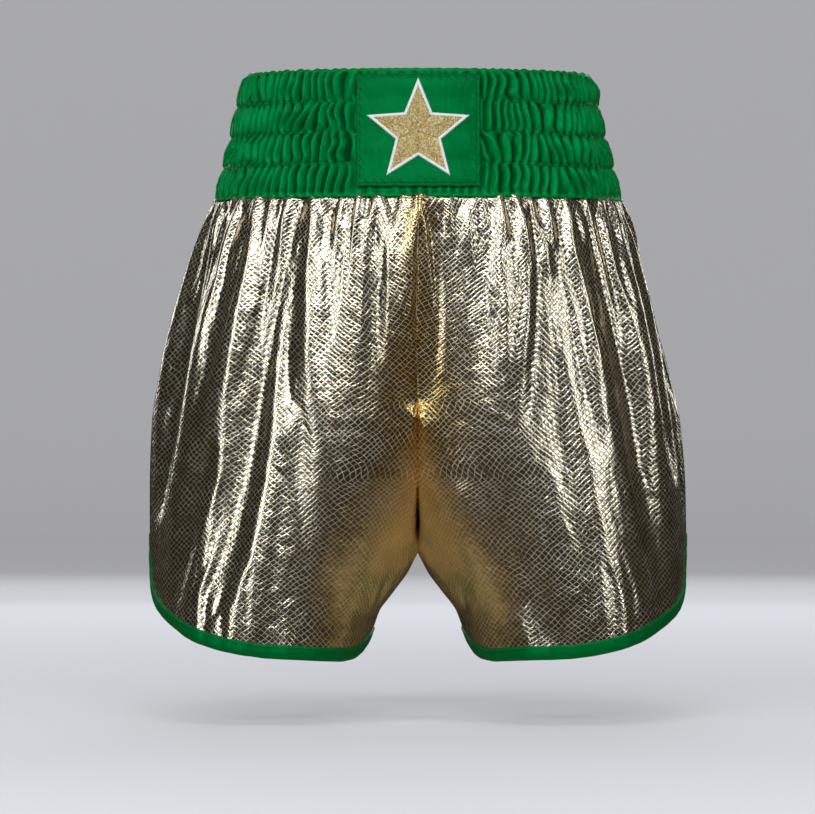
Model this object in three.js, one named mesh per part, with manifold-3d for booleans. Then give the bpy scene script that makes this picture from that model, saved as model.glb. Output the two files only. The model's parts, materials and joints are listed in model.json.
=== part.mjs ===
// Boxing shorts: ruched four-channel elastic waistband with drawcord and star badge,
// foil panels parted at the hips, and bound petal hems with rounded side vents.
// Millimetres, +Z up, -Y is the front, +X is the wearer's left.
// The origin lies on the ground under the middle of the shorts.
import * as THREE from "three";
import { mergeVertices } from "three/addons/utils/BufferGeometryUtils.js";
import Module from "manifold-3d";

const wasm = await Module();
wasm.setup();

// ---------------------------------------------------------------- driving dimensions
// Offsets are measured outwards from the waist line or from the panels' outer face.
// A pair in brackets is [inner, outer] or [lower, upper].
const GAP = 0.3; // clearance between neighbouring pieces
const DEPTH_SHIFT = -3.9; // moves the shorts forward, to put the middle of the depth over the origin
const SQUARENESS = 2.15; // superellipse exponent of the level sections

const WAIST_TOP = 475;
const WAIST_SEAM = 373.5; // seam between waistband and panels
const WAIST_SEGMENTS = 60;
const CHANNELS = 4;
const CHANNEL_PITCH = (WAIST_TOP - WAIST_SEAM) / CHANNELS;

const CLOTH = 1.2; // panel thickness
const BINDING_WIDTH = 10.5;
const BINDING = [-2.0, 0.8]; // faces of the folded binding
const CROTCH = 169; // height of the crotch point
const FORK = 205; // the section starts to round into a leg below this height
const CENTRE_GAP = 0.25; // half the clearance along the centre seam

// Height, half width, front depth, back depth of the shorts.
const BODY = [
  [0, 222, 116, 116],
  [31, 223.5, 117, 118],
  [62, 224, 118, 120],
  [100, 224, 120, 122],
  [149, 223, 122, 126],
  [199, 221, 124, 130],
  [249, 213, 124, 132],
  [286, 203, 122, 130],
  [324, 190, 118, 124],
  [351, 178, 113.5, 117],
  [WAIST_SEAM, 166.3, 109, 111],
  [424, 153.6, 103.5, 104.5],
  [WAIST_TOP, 143, 99, 99],
];
// Height, x of the left leg's inner edge.
const INNER_EDGE = [
  [0, 36], [41, 28], [75, 11], [101, 3], [141, 0.6], [197, CENTRE_GAP], [500, CENTRE_GAP],
];
// Angle round the leg (0 side vent, 180 inseam), height of the hem's lower edge.
const HEM = [
  [0, 79], [2.5, 63], [6, 53], [11, 45.5], [18, 38.5], [26, 32.5],
  [35, 26.5], [46, 19.5], [58, 12.5], [70, 7], [82, 3], [92, 0.6],
  [100, 0], [136, 0], [148, 2], [158, 6], [168, 11], [180, 16],
];

// ---------------------------------------------------------------- materials
const FOIL = { color: 0xb59a5a, roughness: 0.28, metalness: 1.0 };
const SATIN = { color: 0x00873a, roughness: 0.42, metalness: 0.0 };
const PLAIN = { color: 0xe6e6e2, roughness: 0.85, metalness: 0.0 };
const STITCHING = { color: 0x0a7a38, roughness: 0.6, metalness: 0 };
const BRASS = { color: 0xb08d3c, roughness: 0.3, metalness: 1 };
const GOLD_THREAD = { color: 0xc9a94f, roughness: 0.35, metalness: 0.7 };
const WHITE_THREAD = { color: 0xf0ece2, roughness: 0.6, metalness: 0 };
const LABEL_CLOTH = { color: 0xf2f2ee, roughness: 0.7, metalness: 0 };

// ---------------------------------------------------------------- sections of the shorts
// Interpolates a column of a table whose first column is the key; clamped at both ends.
function lookUp(rows, key, column) {
  if (key <= rows[0][0]) return rows[0][column];
  for (let i = 1; i < rows.length; i++) {
    const below = rows[i - 1];
    const above = rows[i];
    if (key <= above[0]) {
      const f = (key - below[0]) / (above[0] - below[0]);
      return below[column] * (1 - f) + above[column] * f;
    }
  }
  return rows[rows.length - 1][column];
}
const halfWidth = (z) => lookUp(BODY, z, 1);
const frontDepth = (z) => lookUp(BODY, z, 2);
const backDepth = (z) => lookUp(BODY, z, 3);

const lerp = (from, to, f) => from + (to - from) * f;
const { smoothstep } = THREE.MathUtils;
const radians = (degrees) => (degrees * Math.PI) / 180;
const squared = (v) => Math.sign(v) * Math.abs(v) ** (2 / SQUARENESS);
const squareCos = (degrees) => squared(Math.cos(radians(degrees)));
const squareSin = (degrees) => squared(Math.sin(radians(degrees)));

// A point of the waist ring: angle 0 is the wearer's left side, 90 the front, 270 the back.
function waistPoint(angle, z, offset) {
  const sine = squareSin(angle);
  const depth = sine > 0 ? frontDepth(z) : backDepth(z);
  return new THREE.Vector3(
    (halfWidth(z) + offset) * squareCos(angle),
    -(depth + offset) * sine,
    z,
  );
}

// The front of the waist ring at a given x.
function frontPoint(x, z, offset) {
  const width = halfWidth(z) + offset;
  const depth = frontDepth(z) + offset;
  const y = -depth * (1 - Math.abs(x / width) ** SQUARENESS) ** (1 / SQUARENESS);
  return new THREE.Vector3(x, y, z);
}

// A point of the left leg: angle 0 is the side, 90 the front, 180 the inseam, 270 the back.
// The section blends from half of the body, flat along the centre, to an oval at the hem.
const CORNER = 108; // angle at which the half body's curve meets its flat centre
function legPoint(angle, z, offset) {
  const turn = ((angle % 360) + 360) % 360;
  const back = turn > 180;
  const a = back ? 360 - turn : turn;
  const width = halfWidth(z) + offset;
  const depth = (back ? backDepth(z) : frontDepth(z)) + offset;
  const inner = lookUp(INNER_EDGE, z, 1) - Math.min(offset, 0);

  const bodyAngle = (Math.min(a, CORNER) * 90) / CORNER;
  const bodyX = Math.max(width * squareCos(bodyAngle), inner);
  const bodyY =
    a <= CORNER
      ? depth * squareSin(bodyAngle)
      : depth * (1 - (a - CORNER) / (180 - CORNER));

  const ovalHalf = (width - inner) / 2;
  const ovalX = inner + ovalHalf + ovalHalf * squareCos(a);
  const ovalY = depth * squareSin(a);

  const roundness = smoothstep(FORK - z, 0, FORK) ** 0.8;
  const y = lerp(bodyY, ovalY, roundness);
  return new THREE.Vector3(lerp(bodyX, ovalX, roundness), back ? y : -y, z);
}

// ---------------------------------------------------------------- skins from grids of points
// Builds an indexed geometry with its faces turned outwards.
function geometryOf(points, faces) {
  let volume = 0;
  for (const [i, j, k] of faces) {
    volume += points[i].dot(points[j].clone().cross(points[k]));
  }
  const outward = volume < 0 ? faces.map(([i, j, k]) => [i, k, j]) : faces;
  const coordinates = points.flatMap((p) => [p.x, p.y, p.z]);
  const g = new THREE.BufferGeometry();
  g.setAttribute("position", new THREE.Float32BufferAttribute(coordinates, 3));
  g.setIndex(outward.flat());
  return g;
}

// Skins rows[i][j], each row a closed cross-section.
// If joined, the last row meets the first; otherwise both ends are capped.
function skin(rows, joined) {
  const n = rows[0].length;
  const faces = [];
  const spans = joined ? rows.length : rows.length - 1;
  for (let i = 0; i < spans; i++) {
    const row = i * n;
    const nextRow = ((i + 1) % rows.length) * n;
    for (let j = 0; j < n; j++) {
      const next = (j + 1) % n;
      faces.push([row + j, row + next, nextRow + next]);
      faces.push([row + j, nextRow + next, nextRow + j]);
    }
  }
  if (!joined) {
    const last = (rows.length - 1) * n;
    for (let j = 1; j < n - 1; j++) {
      faces.push([0, j + 1, j], [last, last + j, last + j + 1]);
    }
  }
  return geometryOf(rows.flat(), faces);
}

// A rectangular profile of [offset, z] points.
function rectangle([inner, outer], [low, high]) {
  return [[inner, low], [outer, low], [outer, high], [inner, high]];
}
const band = (middle, width) => [middle - width / 2, middle + width / 2];

// Sweeps a profile of [offset, z] points round the waist.
function waistRing(profile) {
  const rows = [];
  for (let i = 0; i < WAIST_SEGMENTS; i++) {
    const angle = (360 * i) / WAIST_SEGMENTS;
    rows.push(profile.map(([offset, z]) => waistPoint(angle, z, offset)));
  }
  return skin(rows, true);
}

// A slab curved to the front of the waist; with atBack it is mirrored to the back.
function curvedSlab({ half, offsets, heights, steps, atBack = false }) {
  const rows = [];
  for (let i = 0; i <= steps; i++) {
    const x = lerp(-half, half, i / steps);
    rows.push(
      rectangle(offsets, heights).map(([offset, z]) => {
        const p = frontPoint(x, z, offset);
        if (atBack) p.y *= -1;
        return p;
      }),
    );
  }
  return skin(rows, false);
}

// ---------------------------------------------------------------- joins and cuts
function toSolid(source) {
  const g = source.clone();
  g.deleteAttribute("normal");
  g.deleteAttribute("uv");
  const merged = mergeVertices(g, 1e-4);
  return new wasm.Manifold(
    new wasm.Mesh({
      numProp: 3,
      vertProperties: new Float32Array(merged.attributes.position.array),
      triVerts: new Uint32Array(merged.index.array),
    }),
  );
}

function toGeometry(manifold) {
  const mesh = manifold.getMesh();
  const g = new THREE.BufferGeometry();
  g.setAttribute("position", new THREE.Float32BufferAttribute(mesh.vertProperties, 3));
  g.setIndex(new THREE.Uint32BufferAttribute(mesh.triVerts, 1));
  return g;
}

function cuboid([x0, x1], [y0, y1], [z0, z1]) {
  const g = new THREE.BoxGeometry(x1 - x0, y1 - y0, z1 - z0);
  g.translate((x0 + x1) / 2, (y0 + y1) / 2, (z0 + z1) / 2);
  return toSolid(g);
}

// A shape drawn in x and z, extruded along y.
function prismAlongY(shape, [y0, y1]) {
  const g = new THREE.ExtrudeGeometry(shape, { depth: y1 - y0, bevelEnabled: false });
  g.rotateX(Math.PI / 2); // shape y becomes z, depth runs to -y
  g.translate(0, y1, 0);
  return toSolid(g);
}

// The other side's copy, with its faces turned outwards again.
function mirrored(source) {
  const g = source.clone();
  g.scale(-1, 1, 1);
  const index = g.index.array;
  for (let i = 0; i < index.length; i += 3) {
    [index[i + 1], index[i + 2]] = [index[i + 2], index[i + 1]];
  }
  return g;
}

// ---------------------------------------------------------------- waistband
const FACING = [-7.6, -6.6];
const COVER = {
  back: -1.2, // offset of the inner face
  puff: 3.6, // bulge of each channel past its stitch rows
  puffSpan: [0.27, 0.73], // the bulge's flat, as fractions of the channel pitch
  topOffset: 0.6,
  turnIn: 1, // thickness of the part turned in over the top
};
const ELASTIC = { offsets: [-3.5, -1.9], width: 22.6, topDrop: 0.6 };
const STITCH = { offset: 0.35, thickness: 0.9, spread: 0.45 };

// The cover bulges between its stitch rows and turns in over the top edge.
function waistbandCover() {
  const profile = [[COVER.back, WAIST_SEAM], [0, WAIST_SEAM]];
  for (let c = 0; c < CHANNELS; c++) {
    const z = WAIST_SEAM + c * CHANNEL_PITCH;
    for (const f of COVER.puffSpan) profile.push([COVER.puff, z + CHANNEL_PITCH * f]);
    if (c < CHANNELS - 1) profile.push([0, z + CHANNEL_PITCH]);
  }
  profile.push(
    [COVER.topOffset, WAIST_TOP],
    [FACING[0], WAIST_TOP],
    [FACING[0], WAIST_TOP - COVER.turnIn],
    [COVER.back, WAIST_TOP - COVER.turnIn],
  );
  return waistRing(profile);
}

// Channels are numbered from the top; the top band sits a little low in its channel.
function elasticBand(channel) {
  const middle = WAIST_TOP - (channel + 0.5) * CHANNEL_PITCH;
  const drop = channel === 0 ? ELASTIC.topDrop : 0;
  const heights = band(middle, ELASTIC.width).map((z) => z - drop);
  return waistRing(rectangle(ELASTIC.offsets, heights));
}

function stitchRow(row) {
  const z = WAIST_TOP - row * CHANNEL_PITCH;
  const outer = STITCH.offset + STITCH.thickness;
  const rise = STITCH.thickness * STITCH.spread;
  return waistRing([[STITCH.offset, z], [outer, z - rise], [outer, z + rise]]);
}

// ---------------------------------------------------------------- drawcord
const CORD = {
  offsets: [-6.2, -4.2],
  z: 386,
  height: 7,
  clear: 3.4, // degrees either side of the centre front that the cord leaves clear
};
const CORD_END = { halfWidth: 1.8, halfHeight: 1, length: 5.6 }; // bars through the eyelets
const EYELET = {
  x: 14,
  rOut: 4.6,
  rIn: 2.6,
  offset: -7.4,
  rimHalf: 0.4, // half thickness at the outer radius
  boreHalf: 0.7, // half thickness at the inner radius
  segments: 20,
};
const EYELET_HOLE = { offset: -7, length: 20 };
const TAIL = { length: 62, width: 5, thickness: 1.6, offset: -12.2, rise: 1.6 };
const KNOT = { r: 4, depthScale: 0.8, heightScale: 1.15, drop: 0.8 };
const eyeletY = (offset) => frontPoint(EYELET.x, CORD.z, offset).y;

function waistbandFacing() {
  const top = WAIST_TOP - COVER.turnIn - GAP;
  let facing = toSolid(waistRing(rectangle(FACING, [WAIST_SEAM, top])));
  const r = EYELET.rOut + GAP;
  for (const sign of [-1, 1]) {
    const hole = new THREE.CylinderGeometry(r, r, EYELET_HOLE.length, EYELET.segments);
    hole.translate(sign * EYELET.x, eyeletY(EYELET_HOLE.offset), CORD.z);
    facing = facing.subtract(toSolid(hole));
  }
  return toGeometry(facing);
}

// The flat cord runs round the waist, with a bar going inwards at each eyelet.
function drawcord() {
  const step = 360 / WAIST_SEGMENTS;
  const angles = [90 + CORD.clear];
  for (let a = 90 + step; a <= 450 - step; a += step) angles.push(a);
  angles.push(450 - CORD.clear);
  const section = rectangle(CORD.offsets, band(CORD.z, CORD.height));
  const rows = angles.map((angle) =>
    section.map(([offset, z]) => waistPoint(angle, z, offset)),
  );

  let cord = toSolid(skin(rows, false));
  const y = eyeletY((CORD.offsets[0] + CORD.offsets[1]) / 2);
  for (const sign of [-1, 1]) {
    cord = cord.add(
      cuboid(
        band(sign * EYELET.x, 2 * CORD_END.halfWidth),
        [y, y + CORD_END.length],
        band(CORD.z, 2 * CORD_END.halfHeight),
      ),
    );
  }
  return toGeometry(cord);
}

function eyelet(sign) {
  const { rIn, rOut, rimHalf, boreHalf } = EYELET;
  const profile = [
    [rIn, -boreHalf],
    [rOut, -rimHalf],
    [rOut, rimHalf],
    [rIn, boreHalf],
    [rIn, -boreHalf],
  ].map(([r, y]) => new THREE.Vector2(r, y));
  const g = toGeometry(toSolid(new THREE.LatheGeometry(profile, EYELET.segments)));
  g.translate(sign * EYELET.x, eyeletY(EYELET.offset), CORD.z);
  return g;
}

// A tail hangs inside the waistband from the eyelet and ends in a knot.
function cordTail(sign) {
  const x = sign * EYELET.x;
  const y = eyeletY(TAIL.offset);
  const top = CORD.z + TAIL.rise;
  const bottom = top - TAIL.length;
  const knot = new THREE.SphereGeometry(KNOT.r, 12, 8);
  knot.scale(1, KNOT.depthScale, KNOT.heightScale);
  knot.translate(x, y, bottom - KNOT.r * KNOT.drop);
  const strap = cuboid(band(x, TAIL.width), band(y, TAIL.thickness), [bottom, top]);
  return toGeometry(strap.add(toSolid(knot)));
}

// ---------------------------------------------------------------- badge and label
const BADGE = { half: 50, heights: [380, 472], offsets: [4.1, 5.3], steps: 14 };
const STAR = {
  r: 43,
  innerRatio: 0.44,
  z: 424,
  rim: 2.4, // width of the border
  fillThickness: 1,
  borderThickness: 1.4,
};
const STAR_SLAB = { half: BADGE.half - 2, height: 94 }; // the curved layer the star is cut from
const STAR_CUT = [-150, -60]; // y span of the prisms that cut the star
const SIZE_LABEL = {
  half: 24,
  offsets: [-8.8, -8.1],
  heights: [431, 470],
  steps: 6,
  atBack: true,
};

// The star's outline with every edge moved inwards by inset.
function starShape(inset) {
  const points = [];
  for (let i = 0; i < 10; i++) {
    const r = i % 2 ? STAR.r * STAR.innerRatio : STAR.r;
    const a = Math.PI / 2 + (i * Math.PI) / 5;
    points.push(new THREE.Vector2(r * Math.cos(a), r * Math.sin(a)));
  }
  const [tip, notch] = points;
  const edgeDistance = Math.abs(tip.cross(notch) / tip.distanceTo(notch));
  const f = (edgeDistance - inset) / edgeDistance;
  return new THREE.Shape(points.map((p) => new THREE.Vector2(p.x * f, p.y * f + STAR.z)));
}

// A layer lying just off the badge's face.
function starLayer(thickness) {
  const base = BADGE.offsets[1] + GAP;
  return toSolid(
    curvedSlab({
      half: STAR_SLAB.half,
      offsets: [base, base + thickness],
      heights: band(STAR.z, STAR_SLAB.height),
      steps: BADGE.steps,
    }),
  );
}

function starFill() {
  const outline = prismAlongY(starShape(STAR.rim + GAP), STAR_CUT);
  return toGeometry(starLayer(STAR.fillThickness).intersect(outline));
}

function starBorder() {
  const [y0, y1] = STAR_CUT;
  const outline = prismAlongY(starShape(0), STAR_CUT);
  const opening = prismAlongY(starShape(STAR.rim), [y0 - 5, y1 + 5]);
  return toGeometry(starLayer(STAR.borderThickness).intersect(outline.subtract(opening)));
}

// ---------------------------------------------------------------- left leg cloth
// Columns round the leg, from the side to the inseam and back.
const FRONT_ANGLES = [
  0, 2.5, 6, 11, 18, 26, 35, 46, 58, 70, 82, 93, 102, 108, 112, 121, 132, 144, 156, 168,
];
const LOOP = [
  ...FRONT_ANGLES,
  180,
  ...FRONT_ANGLES.slice(1).map((a) => 360 - a).reverse(),
];
// Rows up the cloth, as fractions of the height from the binding to the waistband.
const LEVELS = [0, 0.07, 0.16, 0.27, 0.39, 0.5, 0.58, 0.66, 0.76, 0.88, 1];
const DRIFT_LEVEL = 0.16; // the columns are back at their own angles from this level up

// Arc length per degree round the leg.
function perDegree(angle, z) {
  return legPoint(angle + 0.5, z, 0).distanceTo(legPoint(angle - 0.5, z, 0));
}

// The hem's edge moved into the cloth by a distance, as [angle, height].
function hemPoint(angle, distance) {
  const reach = 1.2; // degrees either side over which the edge's slope is taken
  const a = angle > 180 ? 360 - angle : angle;
  const z = lookUp(HEM, a, 1);
  const low = Math.max(0, a - reach);
  const high = Math.min(180, a + reach);
  const degreeLength = perDegree(Math.max(2, a), Math.max(z, 5));
  const run = (high - low) * degreeLength;
  // The vent top and the inseam move straight up.
  const slope = a === 0 || a === 180 ? 0 : -(lookUp(HEM, high, 1) - lookUp(HEM, low, 1));
  const length = Math.hypot(slope, run);
  const turn = ((slope / length) * distance) / degreeLength;
  const moved = Math.min(180, Math.max(0, a + turn));
  return [angle > 180 ? 360 - moved : moved, z + (run / length) * distance];
}

// A closed shell between two grids of rows that each go round the leg.
function legTube(rowsAt, [inner, outer]) {
  return toSolid(skin([...rowsAt(outer), ...rowsAt(inner).reverse()], true));
}

function clothRows(offset) {
  const top = WAIST_SEAM - GAP;
  const base = LOOP.map((a) => hemPoint(a, BINDING_WIDTH + GAP));
  return LEVELS.map((level) => {
    const drift = smoothstep(level, 0, DRIFT_LEVEL);
    return LOOP.map((a, j) => {
      const [baseAngle, baseZ] = base[j];
      return legPoint(lerp(baseAngle, a, drift), lerp(baseZ, top, level), offset);
    });
  });
}

function bindingRows(offset) {
  return [0, 0.5, 1].map((f) =>
    LOOP.map((a) => legPoint(...hemPoint(a, BINDING_WIDTH * f), offset)),
  );
}

// Above the rise seam the two halves of the shorts open into each other.
const RISE = {
  steps: 12, // from the crotch point to the front, and to the back
  frontDepth: 124,
  backDepth: 131,
  power: 2.2,
  sideLevels: [291, 324, 351, WAIST_SEAM, 386],
  inset: 0.1, // clearance inside the cloth
  x: -3,
  width: 8,
};
function riseOpening() {
  const outline = [];
  for (let i = -RISE.steps; i <= RISE.steps; i++) {
    const depth = i < 0 ? RISE.frontDepth : RISE.backDepth;
    const f = Math.abs(i) / RISE.steps;
    outline.push([
      f * (depth - CLOTH - RISE.inset) * Math.sign(i),
      CROTCH + (FORK - CROTCH) * f ** RISE.power,
    ]);
  }
  for (const z of RISE.sideLevels) {
    outline.push([backDepth(z) - CLOTH - RISE.inset, z]);
  }
  for (const z of [...RISE.sideLevels].reverse()) {
    outline.push([-(frontDepth(z) - CLOTH - RISE.inset), z]);
  }
  const g = new THREE.ExtrudeGeometry(
    new THREE.Shape(outline.map(([y, z]) => new THREE.Vector2(y, z))),
    { depth: RISE.width, bevelEnabled: false },
  );
  // Shape x becomes y, shape y becomes z, depth runs to +x.
  g.applyMatrix4(
    new THREE.Matrix4().makeBasis(
      new THREE.Vector3(0, 1, 0),
      new THREE.Vector3(0, 0, 1),
      new THREE.Vector3(1, 0, 0),
    ),
  );
  g.translate(RISE.x, 0, 0);
  return toSolid(g);
}

// The cloth parts on a cylinder about the hip axis, so that the leg turns clear of the hip.
const HIP = { y: 4, z: 191, r: 146, halfGap: 0.5 };
const REACH = { x: [-40, 280], y: 200, bottom: -10, top: 460 }; // cutters extend past the cloth
function outsideHip(radius) {
  const cylinder = new THREE.CylinderGeometry(radius, radius, 300, 96);
  cylinder.rotateZ(Math.PI / 2);
  cylinder.translate(120, HIP.y, HIP.z);
  const above = cuboid(REACH.x, [-REACH.y, REACH.y], [HIP.z, REACH.top]);
  return above.subtract(toSolid(cylinder));
}

// The four panel pieces of the left half, parted at the hip and along the side and inseam.
function leftPanels() {
  const cloth = legTube(clothRows, [-CLOTH, 0]).subtract(riseOpening());
  const leg = cloth.subtract(outsideHip(HIP.r - HIP.halfGap));
  const hip = cloth.intersect(outsideHip(HIP.r + HIP.halfGap));
  const heights = [REACH.bottom, REACH.top];
  const frontHalf = cuboid(REACH.x, [-REACH.y, -GAP / 2], heights);
  const backHalf = cuboid(REACH.x, [GAP / 2, REACH.y], heights);
  return {
    frontHip: hip.intersect(frontHalf),
    backHip: hip.intersect(backHalf),
    frontLeg: leg.intersect(frontHalf),
    backLeg: leg.intersect(backHalf),
  };
}

// A short upright bar at the top of the side vent.
const BARTACK = { offsets: [1.1, 2.2], halfWidth: 1.6, heights: [81, 92], sideLevel: 87 };
function ventBartack() {
  const side = legPoint(0, BARTACK.sideLevel, 0).x;
  return cuboid(
    BARTACK.offsets.map((offset) => side + offset),
    [-BARTACK.halfWidth, BARTACK.halfWidth],
    BARTACK.heights,
  );
}

// ---------------------------------------------------------------- assembly
const shorts = new THREE.Group();

function add(name, geometry, look) {
  geometry.computeVertexNormals();
  const mesh = new THREE.Mesh(geometry, new THREE.MeshStandardMaterial(look));
  mesh.name = name;
  shorts.add(mesh);
}

// Adds a left piece and its mirror image; the star in the name stands for the side.
function addPair(name, manifold, look) {
  const left = toGeometry(manifold);
  add(name.replace("*", "left"), left, look);
  add(name.replace("*", "right"), mirrored(left), look);
}

add("waistband_cover", waistbandCover(), SATIN);
add("waistband_facing", waistbandFacing(), FOIL);
for (let c = 0; c < CHANNELS; c++) add(`elastic_band_${c + 1}`, elasticBand(c), PLAIN);
for (let r = 1; r < CHANNELS; r++) add(`stitch_row_${r}`, stitchRow(r), STITCHING);

add("drawcord", drawcord(), PLAIN);
for (const [sign, side] of [[1, "left"], [-1, "right"]]) {
  add(`drawcord_eyelet_${side}`, eyelet(sign), BRASS);
  add(`drawcord_tail_${side}`, cordTail(sign), PLAIN);
}

add("badge_panel", curvedSlab(BADGE), SATIN);
add("badge_star_fill", starFill(), GOLD_THREAD);
add("badge_star_border", starBorder(), WHITE_THREAD);
add("size_label", curvedSlab(SIZE_LABEL), LABEL_CLOTH); // blank, inside the centre back

const panels = leftPanels();
addPair("front_panel_*_hip", panels.frontHip, FOIL);
addPair("back_panel_*_hip", panels.backHip, FOIL);
addPair("front_panel_*_leg", panels.frontLeg, FOIL);
addPair("back_panel_*_leg", panels.backLeg, FOIL);
addPair("hem_binding_*", legTube(bindingRows, BINDING), SATIN);
addPair("vent_bartack_*", ventBartack(), SATIN);

shorts.position.y = DEPTH_SHIFT;

export default shorts;
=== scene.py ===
# Foil shorts with a gathered satin waistband, a star badge, bound hems and a drawcord.
# The shapes are worked out in millimetres. +Z is up with the hems near 0, -Y is the wearer's front,
# +X is the wearer's left, and the centre seams lie in the plane x = 0.
import json
import math

import bmesh
import bpy
import numpy as np
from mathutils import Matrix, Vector


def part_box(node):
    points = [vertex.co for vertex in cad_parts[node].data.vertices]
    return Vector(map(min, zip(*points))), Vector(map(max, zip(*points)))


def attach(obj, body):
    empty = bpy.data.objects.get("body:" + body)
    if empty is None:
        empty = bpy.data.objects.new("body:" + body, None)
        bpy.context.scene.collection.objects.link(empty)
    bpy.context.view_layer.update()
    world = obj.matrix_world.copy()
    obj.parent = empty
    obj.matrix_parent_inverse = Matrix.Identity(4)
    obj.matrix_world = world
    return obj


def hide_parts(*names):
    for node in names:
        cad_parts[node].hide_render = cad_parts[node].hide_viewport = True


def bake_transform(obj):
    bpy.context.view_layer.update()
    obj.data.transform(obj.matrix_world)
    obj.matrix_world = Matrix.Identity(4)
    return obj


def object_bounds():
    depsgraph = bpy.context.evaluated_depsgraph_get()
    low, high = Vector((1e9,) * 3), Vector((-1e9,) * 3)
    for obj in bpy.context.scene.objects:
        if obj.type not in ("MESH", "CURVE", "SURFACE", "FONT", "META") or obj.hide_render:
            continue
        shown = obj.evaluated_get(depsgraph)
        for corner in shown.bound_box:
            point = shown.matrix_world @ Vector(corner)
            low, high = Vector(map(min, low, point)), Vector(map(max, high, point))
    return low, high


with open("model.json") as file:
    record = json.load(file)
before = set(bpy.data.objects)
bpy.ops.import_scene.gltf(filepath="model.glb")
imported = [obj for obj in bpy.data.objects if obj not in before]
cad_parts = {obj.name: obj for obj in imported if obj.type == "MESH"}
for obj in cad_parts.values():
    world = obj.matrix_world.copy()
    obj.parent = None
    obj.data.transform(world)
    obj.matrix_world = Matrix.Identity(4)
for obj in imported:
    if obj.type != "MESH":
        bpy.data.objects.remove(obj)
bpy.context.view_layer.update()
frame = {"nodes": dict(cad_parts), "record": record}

MM = 0.001  # millimetres to metres

# ------------------------------------------------------------------ the shape of the shorts
CENTRE_Y = -3.9
# height, half width, depth in front of CENTRE_Y, depth behind it
BODY = np.array([
    [0, 222, 116, 116], [31, 223.5, 117, 118], [62, 224, 118, 120], [100, 224, 120, 122],
    [149, 223, 122, 126], [199, 221, 124, 130], [249, 213, 124, 132], [286, 203, 122, 130],
    [324, 190, 118, 124], [351, 178, 113.5, 117], [373.5, 166.3, 109, 111],
    [424, 153.6, 103.5, 104.5], [475, 143, 99, 99]], float)
HALF_WIDTH, FRONT_DEPTH, BACK_DEPTH = 1, 2, 3
# height, distance of the inseam from the centre plane
INSEAM = np.array([[0, 36], [41, 28], [75, 11], [101, 3], [141, 0.6], [169, 0.25], [500, 0.25]])
# angle round the leg, height of the hem
HEM = np.array([
    [0, 79], [2.5, 63], [6, 53], [11, 45.5], [18, 38.5], [26, 32.5], [35, 26.5], [46, 19.5],
    [58, 12.5], [70, 7], [82, 3], [92, 0.6], [100, 0], [136, 0], [148, 2], [158, 6], [168, 11],
    [180, 16]], float)
CROTCH, FORK, SEAM, TOP = 169.0, 205.0, 373.5, 475.0  # heights; SEAM is where the waistband starts
CHANNELS = 4
CHANNEL = (TOP - SEAM) / CHANNELS  # height of a waistband channel
MIDDLE = 424.0  # height on the waistband where lengths are measured and the star is centred
SQUARENESS = 2.15  # exponent of the rounded outline; 2 would be an ellipse
CENTRE_ANGLE = 108.0  # angle round the leg where the centre seam lies

BADGE_X, BADGE_LOW, BADGE_HIGH = 50.0, 380.0, 471.5  # half width, bottom and top
BADGE_MID, BADGE_HALF = (BADGE_LOW + BADGE_HIGH) / 2, (BADGE_HIGH - BADGE_LOW) / 2
LABEL_X, LABEL_LOW, LABEL_HIGH = 24.0, 431.0, 470.0
CORD_Z = 386.0


def column(table, at, index=1):
    return np.interp(at, table[:, 0], table[:, index])


def ease(f):
    f = np.clip(f, 0, 1)
    return f * f * (3 - 2 * f)


def bell(x, centre, width):
    return np.exp(-((x - centre) / width) ** 2)


def squared(v, exponent=SQUARENESS):
    """A sine or cosine pushed outwards, so that a circle becomes a rounded square."""
    return np.sign(v) * np.abs(v) ** (2 / exponent)


def leg(angle, z):
    """A point of the left leg: angle 0 is the side, 90 the front, 180 the inseam, 270 the back."""
    angle = np.mod(angle, 360.0)
    behind = angle > 180
    angle = np.where(behind, 360 - angle, angle)
    wide = column(BODY, z, HALF_WIDTH)
    deep = np.where(behind, column(BODY, z, BACK_DEPTH), column(BODY, z, FRONT_DEPTH))
    inner = column(INSEAM, z)
    # near the fork: half of the body's outline, closed by a straight run along the centre plane
    turn = np.radians(np.minimum(angle, CENTRE_ANGLE) * 90 / CENTRE_ANGLE)
    body_x = np.maximum(wide * squared(np.cos(turn)), inner)
    straight = deep * (1 - (angle - CENTRE_ANGLE) / (180 - CENTRE_ANGLE))
    body_y = np.where(angle <= CENTRE_ANGLE, deep * squared(np.sin(turn)), straight)
    # near the hem: a tube of its own
    half = (wide - inner) / 2
    turn = np.radians(angle)
    tube_x = inner + half + half * squared(np.cos(turn))
    tube_y = deep * squared(np.sin(turn))
    k = ease((FORK - z) / FORK) ** 0.8
    x = body_x * (1 - k) + tube_x * k
    y = body_y * (1 - k) + tube_y * k
    return np.stack([x, np.where(behind, y, -y) + CENTRE_Y, z + 0 * x], -1)


def ring(angle, z, out=0.0):
    """A point of the waist, moved out by out: angle 0 is the wearer's left, 90 the front."""
    turn = np.radians(angle)
    c, s = squared(np.cos(turn)), squared(np.sin(turn))
    deep = np.where(s > 0, column(BODY, z, FRONT_DEPTH), column(BODY, z, BACK_DEPTH))
    x = (column(BODY, z, HALF_WIDTH) + out) * c
    return np.stack([x, -(deep + out) * s + CENTRE_Y, z + 0 * x], -1)


def front(x, z, out=0.0, back=False):
    """The point of the waist at x, on the front or the back."""
    wide = column(BODY, z, HALF_WIDTH) + out
    deep = column(BODY, z, BACK_DEPTH if back else FRONT_DEPTH) + out
    y = deep * (1 - np.abs(x / wide) ** SQUARENESS) ** (1 / SQUARENESS)
    return np.stack([x + 0 * z, (y if back else -y) + CENTRE_Y, z + 0 * x], -1)


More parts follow.
